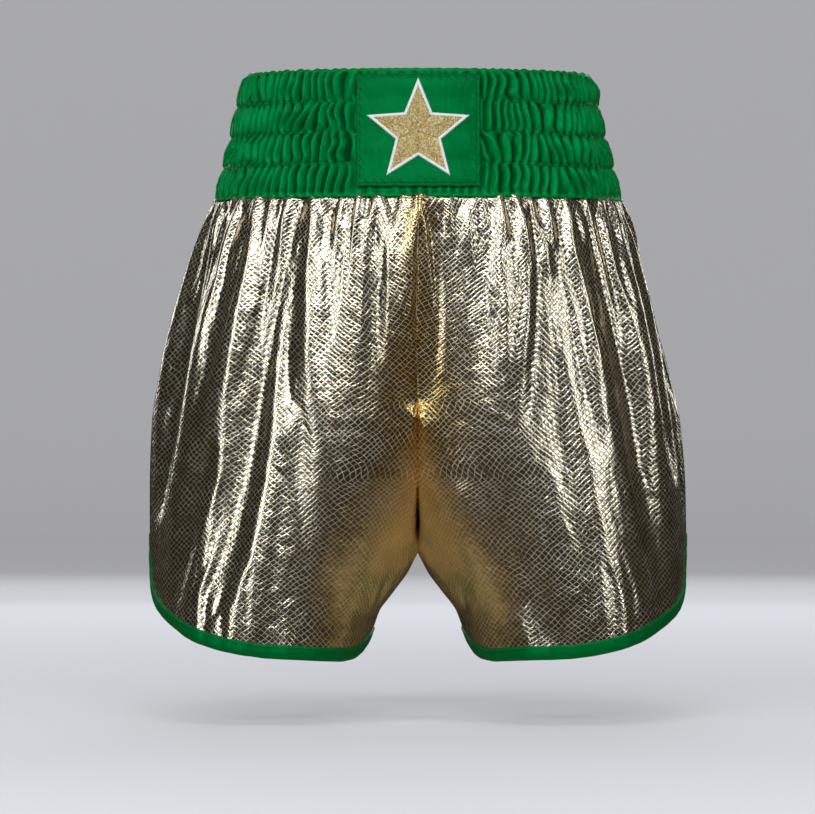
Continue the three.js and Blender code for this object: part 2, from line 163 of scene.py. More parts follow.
# ------------------------------------------------------------------ lines and grids of points
def unit(v):
    return v / np.linalg.norm(v, axis=-1, keepdims=True)


def arc(line):
    """Length along a line, at each of its points."""
    return np.concatenate([[0.0], np.cumsum(np.linalg.norm(np.diff(line, axis=0), axis=1))])


def close(line):
    return np.concatenate([line, line[:1]])


def resample(line, count):
    s = arc(line)
    t = np.linspace(0, s[-1], count)
    return np.stack([np.interp(t, s, line[:, k]) for k in range(line.shape[1])], 1)


def grid_quads(rows, cols, close_rows=False, close_cols=False):
    r = np.arange(rows if close_rows else rows - 1)
    c = np.arange(cols if close_cols else cols - 1)
    i, j = np.meshgrid(r, c, indexing="ij")
    i2, j2 = (i + 1) % rows, (j + 1) % cols
    corners = [i * cols + j, i * cols + j2, i2 * cols + j2, i2 * cols + j]
    return np.stack(corners, -1).reshape(-1, 4)


def upsample(p, axis, closed=False):
    """Doubles a grid along an axis with a Catmull-Rom curve."""
    p = np.moveaxis(p, axis, 0)
    if closed:
        here, after = p, np.roll(p, -1, 0)
        before, beyond = np.roll(p, 1, 0), np.roll(p, -2, 0)
        out = np.empty((2 * len(p),) + p.shape[1:])
    else:
        here, after = p[:-1], p[1:]
        before = np.concatenate([2 * p[:1] - p[1:2], p[:-2]])
        beyond = np.concatenate([p[2:], 2 * p[-1:] - p[-2:-1]])
        out = np.empty((2 * len(p) - 1,) + p.shape[1:])
    out[0::2] = p
    out[1::2] = (-before + 9 * here + 9 * after - beyond) / 16
    return np.moveaxis(out, 0, axis)


def curve(points, count):
    """A smooth path through points."""
    line = np.array(points, float)
    for _ in range(4):
        line = upsample(line, 0)
    return resample(line, count)


def grid_normals(p):
    n = np.cross(np.gradient(p, axis=1), np.gradient(p, axis=0))
    return n / (np.linalg.norm(n, axis=-1, keepdims=True) + 1e-12)


def wave(x, seed, terms, lowest):
    """A smooth irregular wave of an angle x, about -1 to 1."""
    random = np.random.default_rng(seed)
    out = np.zeros_like(np.asarray(x, float))
    for k in range(terms):
        shift = random.uniform(0, 2 * np.pi)
        out += np.cos((lowest + k) * x + shift) * random.uniform(0.4, 1.0)
    return out / math.sqrt(terms) * 0.9


# ------------------------------------------------------------------ meshes, from millimetres
def smooth_object(name, me):
    me.polygons.foreach_set("use_smooth", np.ones(len(me.polygons), bool))
    ob = bpy.data.objects.new(name, me)
    bpy.context.scene.collection.objects.link(ob)
    return ob


def quad_object(name, verts, quads):
    quads = np.asarray(quads)
    me = bpy.data.meshes.new(name)
    count = len(quads)
    me.vertices.add(len(verts))
    me.vertices.foreach_set("co", (np.asarray(verts) * MM).astype(np.float32).ravel())
    me.loops.add(count * 4)
    me.loops.foreach_set("vertex_index", quads.astype(np.int32).ravel())
    me.polygons.add(count)
    me.polygons.foreach_set("loop_start", np.arange(0, count * 4, 4, dtype=np.int32))
    me.update(calc_edges=True)
    me.validate()
    return smooth_object(name, me)


def joined(name, parts):
    """One object from parts, each a pair of points and a list of faces."""
    verts, faces, base = [], [], 0
    for v, f in parts:
        verts.append(v)
        faces += [[int(i) + base for i in face] for face in f]
        base += len(v)
    me = bpy.data.meshes.new(name)
    me.from_pydata((np.concatenate(verts) * MM).tolist(), [], faces)
    me.validate()
    me.update()
    return smooth_object(name, me)


def shell(name, outer, inner, close_cols=False):
    """A closed sheet between two grids of the same shape."""
    rows, cols = outer.shape[:2]
    n = rows * cols
    top = grid_quads(rows, cols, False, close_cols)
    order = np.arange(n).reshape(rows, cols)
    if close_cols:
        rims = [close(order[0]), close(order[-1])[::-1]]
    else:
        rims = [order[0], order[:, -1], order[-1][::-1], order[:, 0][::-1]]
    sides = [np.stack([rim[1:], rim[:-1], rim[:-1] + n, rim[1:] + n], -1) for rim in rims]
    quads = np.concatenate([top, top[:, ::-1] + n] + sides)
    return quad_object(name, np.concatenate([outer.reshape(-1, 3), inner.reshape(-1, 3)]), quads)


def attribute(ob, name, values):
    """A vector per vertex, read by the materials."""
    values = np.asarray(values, np.float32)
    values = np.concatenate([values, np.zeros((len(values), 1), np.float32)], 1)
    layer = ob.data.attributes.new(name, "FLOAT_VECTOR", "POINT")
    layer.data.foreach_set("vector", values.ravel())


def pattern_pairs(x, y):
    return np.stack([x.ravel(), y.ravel()], 1)


def outward(ob):
    bm = bmesh.new()
    bm.from_mesh(ob.data)
    bmesh.ops.recalc_face_normals(bm, faces=bm.faces)
    bm.to_mesh(ob.data)
    bm.free()
    return ob


def circle(count):
    return np.linspace(0, 2 * np.pi, count, endpoint=False)


PENTAGON = np.stack([np.cos(circle(5)), np.sin(circle(5))], 1)


def sweep(path, radius, up, profile=PENTAGON):
    """A capped tube along a path; radius scales the profile, and may vary along the path."""
    path = np.asarray(path, float)
    n, k = len(path), len(profile)
    ahead = np.gradient(path, axis=0)
    ahead /= np.linalg.norm(ahead, axis=1, keepdims=True) + 1e-12
    up = np.tile(np.array(up), (n, 1)).astype(float)
    up[np.abs((up * ahead).sum(1)) > 0.95] = (1.0, 0, 0)
    up -= (up * ahead).sum(1)[:, None] * ahead
    up = unit(up)
    across = np.cross(ahead, up)
    radius = np.broadcast_to(np.asarray(radius, float), (n,))[:, None, None]
    section = profile[None, :, :1] * across[:, None] + profile[None, :, 1:] * up[:, None]
    tube = (path[:, None] + radius * section).reshape(-1, 3)
    first, last = n * k, n * k + 1
    faces = grid_quads(n, k, False, True).tolist()
    faces += [[first, (j + 1) % k, j] for j in range(k)]
    faces += [[last, (n - 1) * k + j, (n - 1) * k + (j + 1) % k] for j in range(k)]
    return np.concatenate([tube, path[:1], path[-1:]]), faces


def stitches(points, normals, length, gap, radius, lift, jitter, seed, closed=True):
    """Separate sewn stitches along a line: short tubes that dive into the cloth at both ends."""
    if closed:
        points, normals = close(points), close(normals)
    s = arc(points)
    count = int(s[-1] / (length + gap))
    pitch = s[-1] / count
    random = np.random.default_rng(seed)

    def at(values, t):
        return np.stack([np.interp(t, s, values[:, k]) for k in range(3)], 1)

    along = np.array([0.0, 0.16, 0.5, 0.84, 1.0])
    height = lift + np.array([-0.9, 0.35, 0.75, 0.35, -0.9]) * radius
    thickness = radius * np.array([0.7, 1, 1.05, 1, 0.7])
    parts = []
    for i in range(count):
        t = i * pitch + gap / 2 + random.uniform(-jitter, jitter) + along * length
        path = at(points, t) + at(normals, t) * height[:, None]
        parts.append(sweep(path, thickness, at(normals, t[2:3])[0]))
    return parts


made = []  # each object and its material slot


def register(ob, slot, *replaced, ride="waist", side=None):
    """Hides the parts a piece replaces and notes its slot. It rides one part, or, given a side, stays
    put with its placement baked into the mesh.
    """
    if replaced:
        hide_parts(*replaced)
    if side:
        side + "_leg"
        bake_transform(ob)
    else:
        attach(ob, ride)
    made.append((ob, slot))


# ------------------------------------------------------------------ panel grids
ANGLE_STEP, HEIGHT_STEP = 0.25, 2.0
ANGLES = np.linspace(0, 180, 721)
HEIGHTS = np.linspace(0, 400, 201)
COLS, ROWS = ((96, 104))


def panel_point(angle, z, back):
    return leg(np.where(angle > 0, 360 - angle, 0) if back else angle, z)


def cell(values, step, count):
    """The table cell that each value falls in, and how far through it."""
    at = np.clip(values / step, 0, count - 1.001)
    low = at.astype(int)
    return low, at - low


def panel_grid(back):
    """A left panel as flat coordinates, distance from the side seam and height, and as points."""
    table = np.array([arc(panel_point(ANGLES, np.full(len(ANGLES), z), back)) for z in HEIGHTS])

    def edge(angle, z):
        angle, z = np.broadcast_arrays(np.asarray(angle, float), np.asarray(z, float))
        i, f = cell(z, HEIGHT_STEP, len(HEIGHTS))
        j, g = cell(angle, ANGLE_STEP, len(ANGLES))
        low = table[i, j] * (1 - g) + table[i, j + 1] * g
        high = table[i + 1, j] * (1 - g) + table[i + 1, j + 1] * g
        return np.stack([low * (1 - f) + high * f, z], 1)

    hem = edge(ANGLES, column(HEM, ANGLES))
    waist = edge(np.linspace(0, CENTRE_ANGLE, 300), SEAM)
    side = edge(0.0, np.linspace(HEM[0, 1], SEAM, 300))
    t = np.linspace(0, 1, 120)[1:]
    inner = np.concatenate([
        edge(180.0, np.linspace(HEM[-1, 1], CROTCH, 120)),
        edge(CENTRE_ANGLE + (180 - CENTRE_ANGLE) * (1 - t), CROTCH + (FORK - CROTCH) * t**2.2),
        edge(CENTRE_ANGLE, np.linspace(FORK, SEAM, 150)[1:])])

    # a grid blended between the four edges
    low, high = resample(hem, COLS + 1), resample(waist, COLS + 1)
    left, right = resample(side, ROWS + 1), resample(inner, ROWS + 1)
    u = np.linspace(0, 1, COLS + 1)[None, :, None]
    v = np.linspace(0, 1, ROWS + 1)[:, None, None]
    flat = (1 - v) * low[None] + v * high[None] + (1 - u) * left[:, None] + u * right[:, None] - (
        (1 - u) * (1 - v) * low[0] + u * (1 - v) * low[-1]
        + (1 - u) * v * high[0] + u * v * high[-1])

    # the angle at each flat distance, from the table read backwards
    angle = np.zeros(flat.shape[:2])
    i, f = cell(flat[..., 1], HEIGHT_STEP, len(HEIGHTS))
    for k in np.ndindex(angle.shape):
        row = table[i[k]] * (1 - f[k]) + table[i[k] + 1] * f[k]
        angle[k] = np.interp(flat[k][0], row, ANGLES)
    return flat, panel_point(angle, flat[..., 1], back)


FRONT_FLAT, FRONT_GRID = panel_grid(False)
BACK_FLAT, BACK_GRID = panel_grid(True)
CROTCH_ROW = int(np.argmin(np.linalg.norm(FRONT_GRID[:, -1] - [0, CENTRE_Y, CROTCH], axis=1)))
MIRROR = np.array([-1.0, 1, 1])
PANELS = ["front_left", "front_right", "back_left", "back_right"]
PANEL_GRIDS = [FRONT_GRID, FRONT_GRID * MIRROR, BACK_GRID, BACK_GRID * MIRROR]
PANEL_FLATS = [FRONT_FLAT, FRONT_FLAT, BACK_FLAT, BACK_FLAT]
OUTWARD_SIGN = [-1, 1, 1, -1]  # turns each panel's grid normals outwards


def weld_panels():
    """Shared vertices, and one grid of their indices per panel, joined along the seams."""
    n = (ROWS + 1) * (COLS + 1)
    idx = [np.arange(n).reshape(ROWS + 1, COLS + 1) + k * n for k in range(4)]
    to = np.arange(4 * n)
    below, above = slice(0, CROTCH_ROW + 1), slice(CROTCH_ROW, None)
    # front and back meet at the sides and inseams, left and right at the centre
    for a, b, rows, col in (
            (0, 2, slice(None), 0), (1, 3, slice(None), 0), (0, 2, below, -1),
            (1, 3, below, -1), (0, 1, above, -1), (2, 3, above, -1)):
        to[idx[b][rows, col]] = to[idx[a][rows, col]]
    for k in (1, 2, 3):
        to[idx[k][CROTCH_ROW, -1]] = to[idx[0][CROTCH_ROW, -1]]
    while (to[to] != to).any():
        to = to[to]
    used, new = np.unique(to, return_inverse=True)
    verts = np.concatenate([g.reshape(-1, 3) for g in PANEL_GRIDS])
    for k in (0, 2):
        verts[idx[k][above, -1], 0] = 0
    return verts[used], [new[i] for i in idx]


# ------------------------------------------------------------------ cloth
def simulate(name, start, rest, faces, weight, frames, bend, pin, gravity):
    """Blender's cloth from start, with rest lengths from rest.

    Weight 1 is pinned, and a smaller weight pulls softly towards start."""
    ob = quad_object(name, start, faces)
    ob.shape_key_add(name="Basis")
    key = ob.shape_key_add(name="rest")
    key.data.foreach_set("co", (rest * MM).astype(np.float32).ravel())
    key.value = 0
    group = ob.vertex_groups.new(name="pin")
    for w in np.unique(np.round(weight, 2)):
        group.add(np.nonzero(np.abs(weight - w) < 5e-3)[0].tolist(), float(w), "REPLACE")
    cloth = ob.modifiers.new("cloth", "CLOTH")
    c = cloth.settings
    c.quality = 5
    c.mass = 0.05
    c.tension_stiffness = c.compression_stiffness = 20.0
    c.shear_stiffness = 8.0
    c.bending_stiffness = bend
    c.tension_damping = c.compression_damping = 10
    c.shear_damping = 5
    c.bending_damping = 1
    c.air_damping = 2.0
    c.vertex_group_mass = "pin"
    c.pin_stiffness = pin
    c.rest_shape_key = key
    c.effector_weights.gravity = gravity
    cloth.collision_settings.use_collision = False
    cloth.collision_settings.use_self_collision = False
    cloth.point_cache.frame_start, cloth.point_cache.frame_end = 1, frames + 1
    scene = bpy.context.scene
    scene.frame_start, scene.frame_end = 1, frames + 1
    for f in range(1, frames + 1):
        scene.frame_set(f)
    settled = ob.evaluated_get(bpy.context.evaluated_depsgraph_get())
    co = np.zeros(len(start) * 3, np.float32)
    settled.data.vertices.foreach_get("co", co)
    bpy.data.objects.remove(ob)
    return co.reshape(-1, 3).astype(float) / MM


GATHERS = (  # waves round the waist, phase, size
    (54, 0.3, 1.0), (67, 1.7, 0.8), (41, 4.1, 0.9), (83, 2.2, 0.5), (29, 5.2, 0.8))
FOLDS = ((6, 0.2), (9, 2.2), (13, 4.0), (17, 1.1))  # waves round the waist, phase
GATHER_DEPTH, FOLD_DEPTH = 2.7, 3.6
CLOTH_EASE, CLOTH_DROP = 1.018, 1.012  # how much larger the cloth is across and down
CLOTH_Y = CENTRE_Y + 4  # the cloth grows away from here


def fullness(z):
    """How much wider the cloth is than the body: more towards the waistband."""
    return 1 + ease((z - 226) / (SEAM - 226)) * 0.36


def ripples(verts):
    """Gathers start as ripples under the waistband, and fade into broad folds."""
    x, z = verts[:, 0], verts[:, 2]
    turn = np.arctan2(-(verts[:, 1] - CENTRE_Y) * 1.6, x)
    fall = (SEAM - z) * 0.001
    fine, broad = np.zeros(len(verts)), np.zeros(len(verts))
    for k, phase, size in GATHERS:
        drift = 1.1 * fall * np.sin(4 * turn + 2 * phase)
        uneven = 1.3 * np.sin(3 * turn + phase) + 0.8 * np.sin(7 * turn + 3 * phase)
        fine += size * np.cos(k * (turn + drift) + phase + uneven) / 2
    for k, phase in FOLDS:
        drift = 0.9 * fall * np.sin(3 * turn + 5 * phase)
        broad += 0.5 * np.cos(k * (turn + drift) + phase + 0.01 * z * math.sin(7 * phase))
    near = ease((z - 291) / 87.0)
    depth = fine * GATHER_DEPTH * near * (1 - 0.45 * ease((z - 356.5) / 17))
    depth += broad * FOLD_DEPTH * ease((z - 51) / 150.0) * (1 - 0.7 * near)
    calm = ease((FORK + 60 - z) / 75)
    return depth * (1 - calm * (1 - ease((np.abs(x) - 10) / 50)))


def body_cloth():
    verts, idx = weld_panels()
    faces = []
    for i, sign in zip(idx, OUTWARD_SIGN):
        corners = [i[:-1, :-1], i[:-1, 1:], i[1:, 1:], i[1:, :-1]]
        faces.append(np.stack(corners, -1).reshape(-1, 4)[:, ::sign])
    z = verts[:, 2]
    grow = fullness(z)
    rest = verts.copy()
    rest[:, 0] *= grow * CLOTH_EASE
    rest[:, 1] = (rest[:, 1] - CENTRE_Y - 4) * grow * CLOTH_EASE + CLOTH_Y
    rest[:, 2] = (rest[:, 2] - SEAM) * CLOTH_DROP + SEAM
    wide, deep = column(BODY, z, HALF_WIDTH), 125.0
    normal = np.stack([verts[:, 0] / wide**2, (verts[:, 1] - CENTRE_Y) / deep**2], 1)
    normal /= np.linalg.norm(normal, axis=1)[:, None] + 1e-9
    start = verts.copy()
    start[:, :2] += normal * ripples(verts)[:, None]
    weight = np.where(z > SEAM - 0.1, 1.0, 0.3)
    settled = simulate("sim_body", start, rest, np.concatenate(faces), weight, frames=14,
                       bend=0.05, pin=0.002, gravity=0.3)
    return settled, idx


def soften(co, idx):
    """Rounds the cloth where each leg turns in below the fork, leaving the centre and the hems."""
    pairs = []
    for i in idx:
        pairs.append(np.stack([i[:-1].ravel(), i[1:].ravel()], 1))
        pairs.append(np.stack([i[:, :-1].ravel(), i[:, 1:].ravel()], 1))
    edges = np.unique(np.sort(np.concatenate(pairs), 1), axis=0)
    edges = np.concatenate([edges, edges[:, ::-1]])
    count = np.bincount(edges[:, 0], minlength=len(co))[:, None]
    co = co.copy()
    across, z = np.abs(co[:, 0]), co[:, 2]
    amount = bell(across, 34, 34) * bell(z, 160, 58) * ease((across - 1.5) / 9) * ease((z - 40) / 40)
    least = np.minimum(across, 1.6)
    for _ in range(42):
        total = np.zeros_like(co)
        for k in range(3):
            weights = co[edges[:, 1], k]
            total[:, k] = np.bincount(edges[:, 0], weights=weights, minlength=len(co))
        co += 0.6 * amount[:, None] * (total / count - co)
        co[:, 0] = np.sign(co[:, 0]) * np.maximum(np.abs(co[:, 0]), least)
    return co


BODY_CO, BODY_IDX = body_cloth()
BODY_CO = soften(BODY_CO, BODY_IDX)

# ------------------------------------------------------------------ panels
HALF_CLOTH = 0.4  # half the cloth's thickness
PANEL_SURFACE = {}  # each panel's grid and its outward normals


def seam_lumps(count, seed):
    """How unevenly the outer face sinks along a sewn edge."""
    random = np.random.default_rng(seed)
    noise = np.convolve(random.uniform(-1, 1, count + 4), np.ones(3) / 3, "same")
    return 1 + 0.35 * noise[2:-2]


def build_panel(k, name):
    end, side = name.split("_")
    sign = OUTWARD_SIGN[k]
    grid = BODY_CO[BODY_IDX[k]]
    PANEL_SURFACE[name] = (grid, grid_normals(grid) * sign)
    distance, height = PANEL_FLATS[k][..., 0], PANEL_FLATS[k][..., 1]
    flat = np.stack([distance * fullness(height) * -sign, height], -1)
    both = upsample(np.concatenate([grid, flat], -1), 1)
    points, flat = both[..., :3], both[..., 3:]
    normals = grid_normals(points) * sign
    rows, cols = points.shape[:2]
    sink = np.zeros((rows, cols))
    lumps = seam_lumps(rows, 20 + k)
    for c, depth in ((0, 0.75), (1, 0.2), (cols - 1, 0.75), (cols - 2, 0.2)):
        sink[:, c] = depth * lumps
    outer = points + normals * (HALF_CLOTH - sink)[..., None]
    ob = shell("panel_" + name, outer, points - normals * HALF_CLOTH)
    attribute(ob, "pattern", np.concatenate([flat.reshape(-1, 2)] * 2))
    # the attribute set below holds 1 on the inner face, then painted reflection: how far the gold is
    # tinted amber near the centre and crotch, standing in for gold mirrored in gold
    x, z = points[..., 0], points[..., 2]
    # painted reflection: strongest along the centre seam and round the crotch
    painted_bounce = 0.8 * bell(x, 0, 15) * ease((z - 161) / 40) + bell(np.abs(x), 6, 36) * bell(z, 196, 62)
    painted_bounce = np.clip(painted_bounce, 0, 1).ravel() * 0.85
    none = painted_bounce * 0
    attribute(ob, "lining_and_painted_bounce", np.concatenate([np.stack([none, painted_bounce], 1), np.stack([none + 1, none], 1)]))
    outward(ob)
    replaced = [f"{end}_panel_{side}_hip", f"{end}_panel_{side}_leg"]
    register(ob, "foil_panel", *replaced, side=side)


for k, name in enumerate(PANELS):
    build_panel(k, name)

# ------------------------------------------------------------------ hem bindings and bartacks
# the folded binding in section: distance up from the cloth's edge, height off the cloth
BINDING = np.array([
    [10.6, 0.25], [10.7, 0.95], [10.2, 1.35], [8.6, 1.25], [6.4, 1.55], [3.8, 1.6], [1.2, 1.35],
    [-0.3, 0.8], [-0.8, 0], [-0.3, -0.8], [1.2, -1.35], [3.8, -1.6], [6.4, -1.55], [8.6, -1.25],
    [10.0, -1.3], [10.4, -0.9], [10.2, -0.25]])
BINDING_SEEDS = {"left": (31, 41), "right": (37, 43)}  # for the thickness, for the edge
# every bartack and star thread draws from this in turn
rng = np.random.default_rng(11)


def hem_line(side):
    """The hem's edge, its outward normals, and directions from it up the cloth."""
    front_grid, front_normals = PANEL_SURFACE["front_" + side]
    back_grid, back_normals = PANEL_SURFACE["back_" + side]

    def around(front_row, back_row):
        return np.concatenate([front_row, back_row[::-1][1:-1]])

    line = around(front_grid[0], back_grid[0])
    above = around(front_grid[3], back_grid[3])
    normals = around((front_normals[0] + front_normals[2]) / 2,
                     (back_normals[0] + back_normals[2]) / 2)
    normals[0] = front_normals[0, 0] + back_normals[0, 0]

    def blur(p, times):
        for _ in range(times):
            p = (np.roll(p, 1, 0) + 2 * p + np.roll(p, -1, 0)) / 4
        return p

    normals = upsample(blur(normals, 4), 0, True)
    line, above = upsample(line, 0, True), upsample(above, 0, True)
    smooth = blur(line, 2)
    ahead = unit(np.roll(smooth, -1, 0) - np.roll(smooth, 1, 0))
    normals = unit(normals - (normals * ahead).sum(1)[:, None] * ahead)
    up = np.cross(normals, ahead)
    up *= np.sign(((above - line) * up).sum(1))[:, None]
    up[0] = (0, 0, 1)
    return line, normals, up


def build_binding(side, line, normals, up):
    n, m = len(line), len(BINDING)
    turn = circle(n)
    thickness_seed, edge_seed = BINDING_SEEDS[side]
    lumps = 1 + 0.07 * wave(turn, thickness_seed, terms=14, lowest=30)
    ragged = 0.3 * wave(turn, edge_seed, terms=12, lowest=24)
    rise = BINDING[:, 0][None] + ragged[:, None] * (BINDING[:, 0][None] > 8)
    height = BINDING[:, 1][None] * lumps[:, None]
    points = line[:, None] + up[:, None] * rise[..., None] + normals[:, None] * height[..., None]
    ob = quad_object("binding_" + side, points.reshape(-1, 3), grid_quads(n, m, True, True))
    along = arc(close(line))[:-1]
    attribute(ob, "pattern", np.stack([np.repeat(along, m), np.tile(arc(BINDING), n)], 1))
    outward(ob)
    register(ob, "binding_satin", "hem_binding_" + side, side=side)


def build_binding_stitches(side, line, normals, up):
    parts = []
    for face in (1, -1):
        row = line + up * 9.2 + normals * (1.28 * face)
        parts += stitches(row, normals * face, length=2.3, gap=0.9, radius=0.3, lift=0.05,
                          jitter=0.1, seed=5)
    register(joined("binding_stitches_" + side, parts), "stitch_thread", side=side)


def build_bartack(side, line, normals, up):
    """A dense row of short threads across the top of the vent."""
    parts = []
    apex = line[0] + up[0] * 2.0
    along = np.array([-1, -0.6, 0, 0.6, 1])
    height = np.array([0.2, 1.0, 1.35, 1.0, 0.2]) + 0.5
    for i in range(22):
        half = 1.7 + 0.15 * rng.uniform(-1, 1)
        path = apex + np.array([0, 0, i * 0.5 + 8.0]) + normals[0] * height[:, None]
        path[:, 1] += along * half
        path[:, 2] += 0.2 * along
        parts.append(sweep(path, 0.27, normals[0]))
    register(joined("bartack_" + side, parts), "bartack_thread", "vent_bartack_" + side, side=side)


for side in ("left", "right"):
    hem = hem_line(side)
    build_binding(side, *hem)
    build_binding_stitches(side, *hem)
    build_bartack(side, *hem)

# ------------------------------------------------------------------ gathered waistband cover
BAND_COLS = 400
CHANNEL_ROWS = 11
PUFF = 1.1  # how far a channel swells
BAND_FULLNESS, BAND_HEIGHT = 1.55, 1.22  # how much longer and taller the satin is than the band


def even_angles(count):
    """Angles that lie evenly along the waist's length."""
    angles = np.linspace(0, 360, 7201)
    s = arc(ring(angles, MIDDLE))
    return np.interp(np.linspace(0, s[-1], count, endpoint=False), s, angles)


FINE_ANGLES = even_angles(2 * BAND_COLS)
FINE_TURN = circle(2 * BAND_COLS)


def under_badge(angle):
    """1 where the badge panel lies over the band, 0 away from it."""
    point = ring(angle, MIDDLE)
    return ease((BADGE_X + 3.0 - np.abs(point[..., 0])) / 5) * (point[..., 1] < 0)


def cover_cloth():
    """The satin simulated between the rows of stitching, as a grid of rows from the bottom up."""
    angles, turn = even_angles(BAND_COLS), circle(BAND_COLS)
    badge = under_badge(angles)
    start, rest, weight = [], [], []
    total = CHANNELS * CHANNEL_ROWS
    for i in range(total + 1):
        c, f = divmod(i, CHANNEL_ROWS)
        f /= CHANNEL_ROWS
        if i == total:
            c, f = CHANNELS - 1, 1.0
        sewn = f in (0.0, 1.0)
        bulge = 0.0 if sewn else math.sin(math.pi * f)
        lean = [1.2, -0.6, 1.6, -1.9][c]
        phase = (
            [103, 97, 106, 100][c] * turn
            + 3.4 * wave(turn, 50 + c, terms=14, lowest=5)
            + (f - 0.5) * (4.6 * wave(turn, 60 + c, terms=12, lowest=4) + lean)
            + 1.5 * math.sin(2.2 * math.pi * f) * wave(turn, 70 + c, terms=10, lowest=7))
        fine = wave(turn, 80 + c, terms=16, lowest=60) * 0.5
        row_seed = 90 + i // CHANNEL_ROWS
        sewn_wave = 0.85 * np.cos(108 * turn + 2.0 * wave(turn, row_seed, terms=10, lowest=6))
        out = PUFF * bulge**0.7 + sewn_wave * (1 - bulge)
        out = out + (np.cos(phase) + fine) * (0.5 + 2.05 * bulge**0.6) * (bulge > 0)
        out = out * (1 - 0.55 * badge)
        z = SEAM + (c + f) * CHANNEL
        start.append(ring(angles, z, out + 0.2))
        row = ring(angles, z)
        row[:, 0] *= BAND_FULLNESS
        row[:, 1] = (row[:, 1] - CENTRE_Y) * BAND_FULLNESS + CENTRE_Y
        row[:, 2] = SEAM + (c + f) * CHANNEL * BAND_HEIGHT
        rest.append(row)
        weight.append(np.full(BAND_COLS, 1.0 if sewn else 0.25))
    faces = grid_quads(total + 1, BAND_COLS, False, True)[:, ::-1]
    settled = simulate(
        "sim_band", np.concatenate(start), np.concatenate(rest), faces, np.concatenate(weight),
        frames=12, bend=0.01, pin=0.0015, gravity=0.05)
    return settled.reshape(total + 1, BAND_COLS, 3)


def flatten_under_badge(points):
    """Pressed flat where the badge panel lies over it."""
    x, y, z = points[..., 0], points[..., 1], points[..., 2]
    limit = front(np.clip(x, -60, 60), z, 3.6)[..., 1]
    inside = ease((BADGE_X + 3 - np.abs(x)) / 3) * (y < 0)
    inside = inside * ease((z - BADGE_LOW + 3.5) / 3) * ease((BADGE_HIGH + 3 - z) / 3)
    points[..., 1] += np.maximum(limit - y, 0) * inside


# the edge turned under at the bottom: height from SEAM, distance out, share of the ripple
TURNED_UNDER = ((1.5, -1.6, 0.3), (-0.6, -1.2, 0.6), (-1.7, 0.2, 1.0), (-1.3, 1.4, 1.0))
# the roll over the top edge: height from TOP, distance out, share of the crest's waves
ROLL = ((0.9, -0.9, 0.8), (1.3, -2.4, 1.0), (1.2, -4.2, 1.0), (0.3, -5.9, 0.8), (-1.6, -6.9, 0.4),
        (-4.0, -7.2, 0.1))


def build_cover(band):
    ripple = 0.35 * np.cos(108 * FINE_TURN + 2.0 * wave(FINE_TURN, 90, terms=10, lowest=6))
    crest = 0.5 * np.cos(100 * FINE_TURN + 1.6 * wave(FINE_TURN, 96, terms=12, lowest=6))
    crest = crest + 0.4 * wave(FINE_TURN, 97, terms=14, lowest=40)
    calm = 1 - 0.6 * under_badge(FINE_ANGLES)
    low = [ring(FINE_ANGLES, SEAM + dz, out + ripple * f) for dz, out, f in TURNED_UNDER]
    roll = [ring(FINE_ANGLES, TOP + dz + crest * f * calm, out) for dz, out, f in ROLL]
    body = band.copy()
    body[-1] = ring(FINE_ANGLES, TOP - 0.9 + crest * 0.4 * calm, 0.5)
    points = np.concatenate([np.array(low), body[1:], np.array(roll)])
    flatten_under_badge(points)
    points = upsample(points, 0)

    # cloth that falls inside the waist's outline is held near it, and marked for painted shade that
    # darkens its colour there
    wall = ring(FINE_ANGLES, points[..., 2])
    radial = unit(wall[..., :2] - [0, CENTRE_Y])
    out = ((points[..., :2] - wall[..., :2]) * radial).sum(-1)
    inside = (points[..., 2] > SEAM + 1.0) & (points[..., 2] < TOP - 1.5) & (out > -4)
    held = np.where(out < -0.2, -0.2 - 1.1 * np.tanh((-0.2 - out) / 1.1), out)
    points[..., :2] += radial * (np.where(inside, held, out) - out)[..., None]
    # painted shade: 1 in the deepest hollows, fading to 0 as the cloth comes back out past the outline
    painted_cavity_shade = (1 - ease((out + 1.3) / 2.6)) * inside

    rows, cols = points.shape[:2]
    quads = grid_quads(rows, cols, False, True)[:, ::-1]
    ob = quad_object("waistband_ruched", points.reshape(-1, 3), quads)
    length = arc(ring(FINE_ANGLES, MIDDLE)) * 1.6
    pattern = np.stack([np.tile(length, rows), np.repeat(points[:, 0, 2], cols)], 1)
    attribute(ob, "pattern", pattern)
    attribute(ob, "painted_cavity_shade", np.stack([painted_cavity_shade.ravel(), np.zeros(painted_cavity_shade.size)], 1))
    face = ob.data.polygons[len(ob.data.polygons) // 2]
    if face.normal.dot(face.center - Vector((0, 0, face.center.z))) < 0:
        ob.data.flip_normals()
    register(ob, "waistband_satin", "waistband_cover")


def build_stitch_row(number, band):
    """A row of stitching between two channels, which stops behind the badge."""
    row = band[(CHANNELS - number) * CHANNEL_ROWS]
    out = ring(FINE_ANGLES, MIDDLE, 1.0) - ring(FINE_ANGLES, MIDDLE, 0.0)
    out[:, 2] = 0
    out = unit(out)
    seen = ~((np.abs(row[:, 0]) < BADGE_X) & (row[:, 1] < 0))
    first = int(np.argmax(seen & ~np.roll(seen, 1)))
    order = (np.arange(len(row)) + first) % len(row)
    order = order[seen[order]]
    parts = stitches(row[order], out[order], length=2.2, gap=0.9, radius=0.27, lift=0.1,
                     jitter=0.15, seed=60 + number, closed=False)
    register(joined(f"stitching_{number}", parts), "stitch_thread", f"stitch_row_{number}")


band = upsample(cover_cloth(), 1, True)
build_cover(band)
for number in (1, 2, 3):
    build_stitch_row(number, band)

# ------------------------------------------------------------------ badge panel
SEWN_IN = 2.0  # distance of the badge's stitching from its edge


def edge_distance(x, z):
    return np.minimum(BADGE_X - np.abs(x), np.minimum(z - BADGE_LOW, BADGE_HIGH - z))


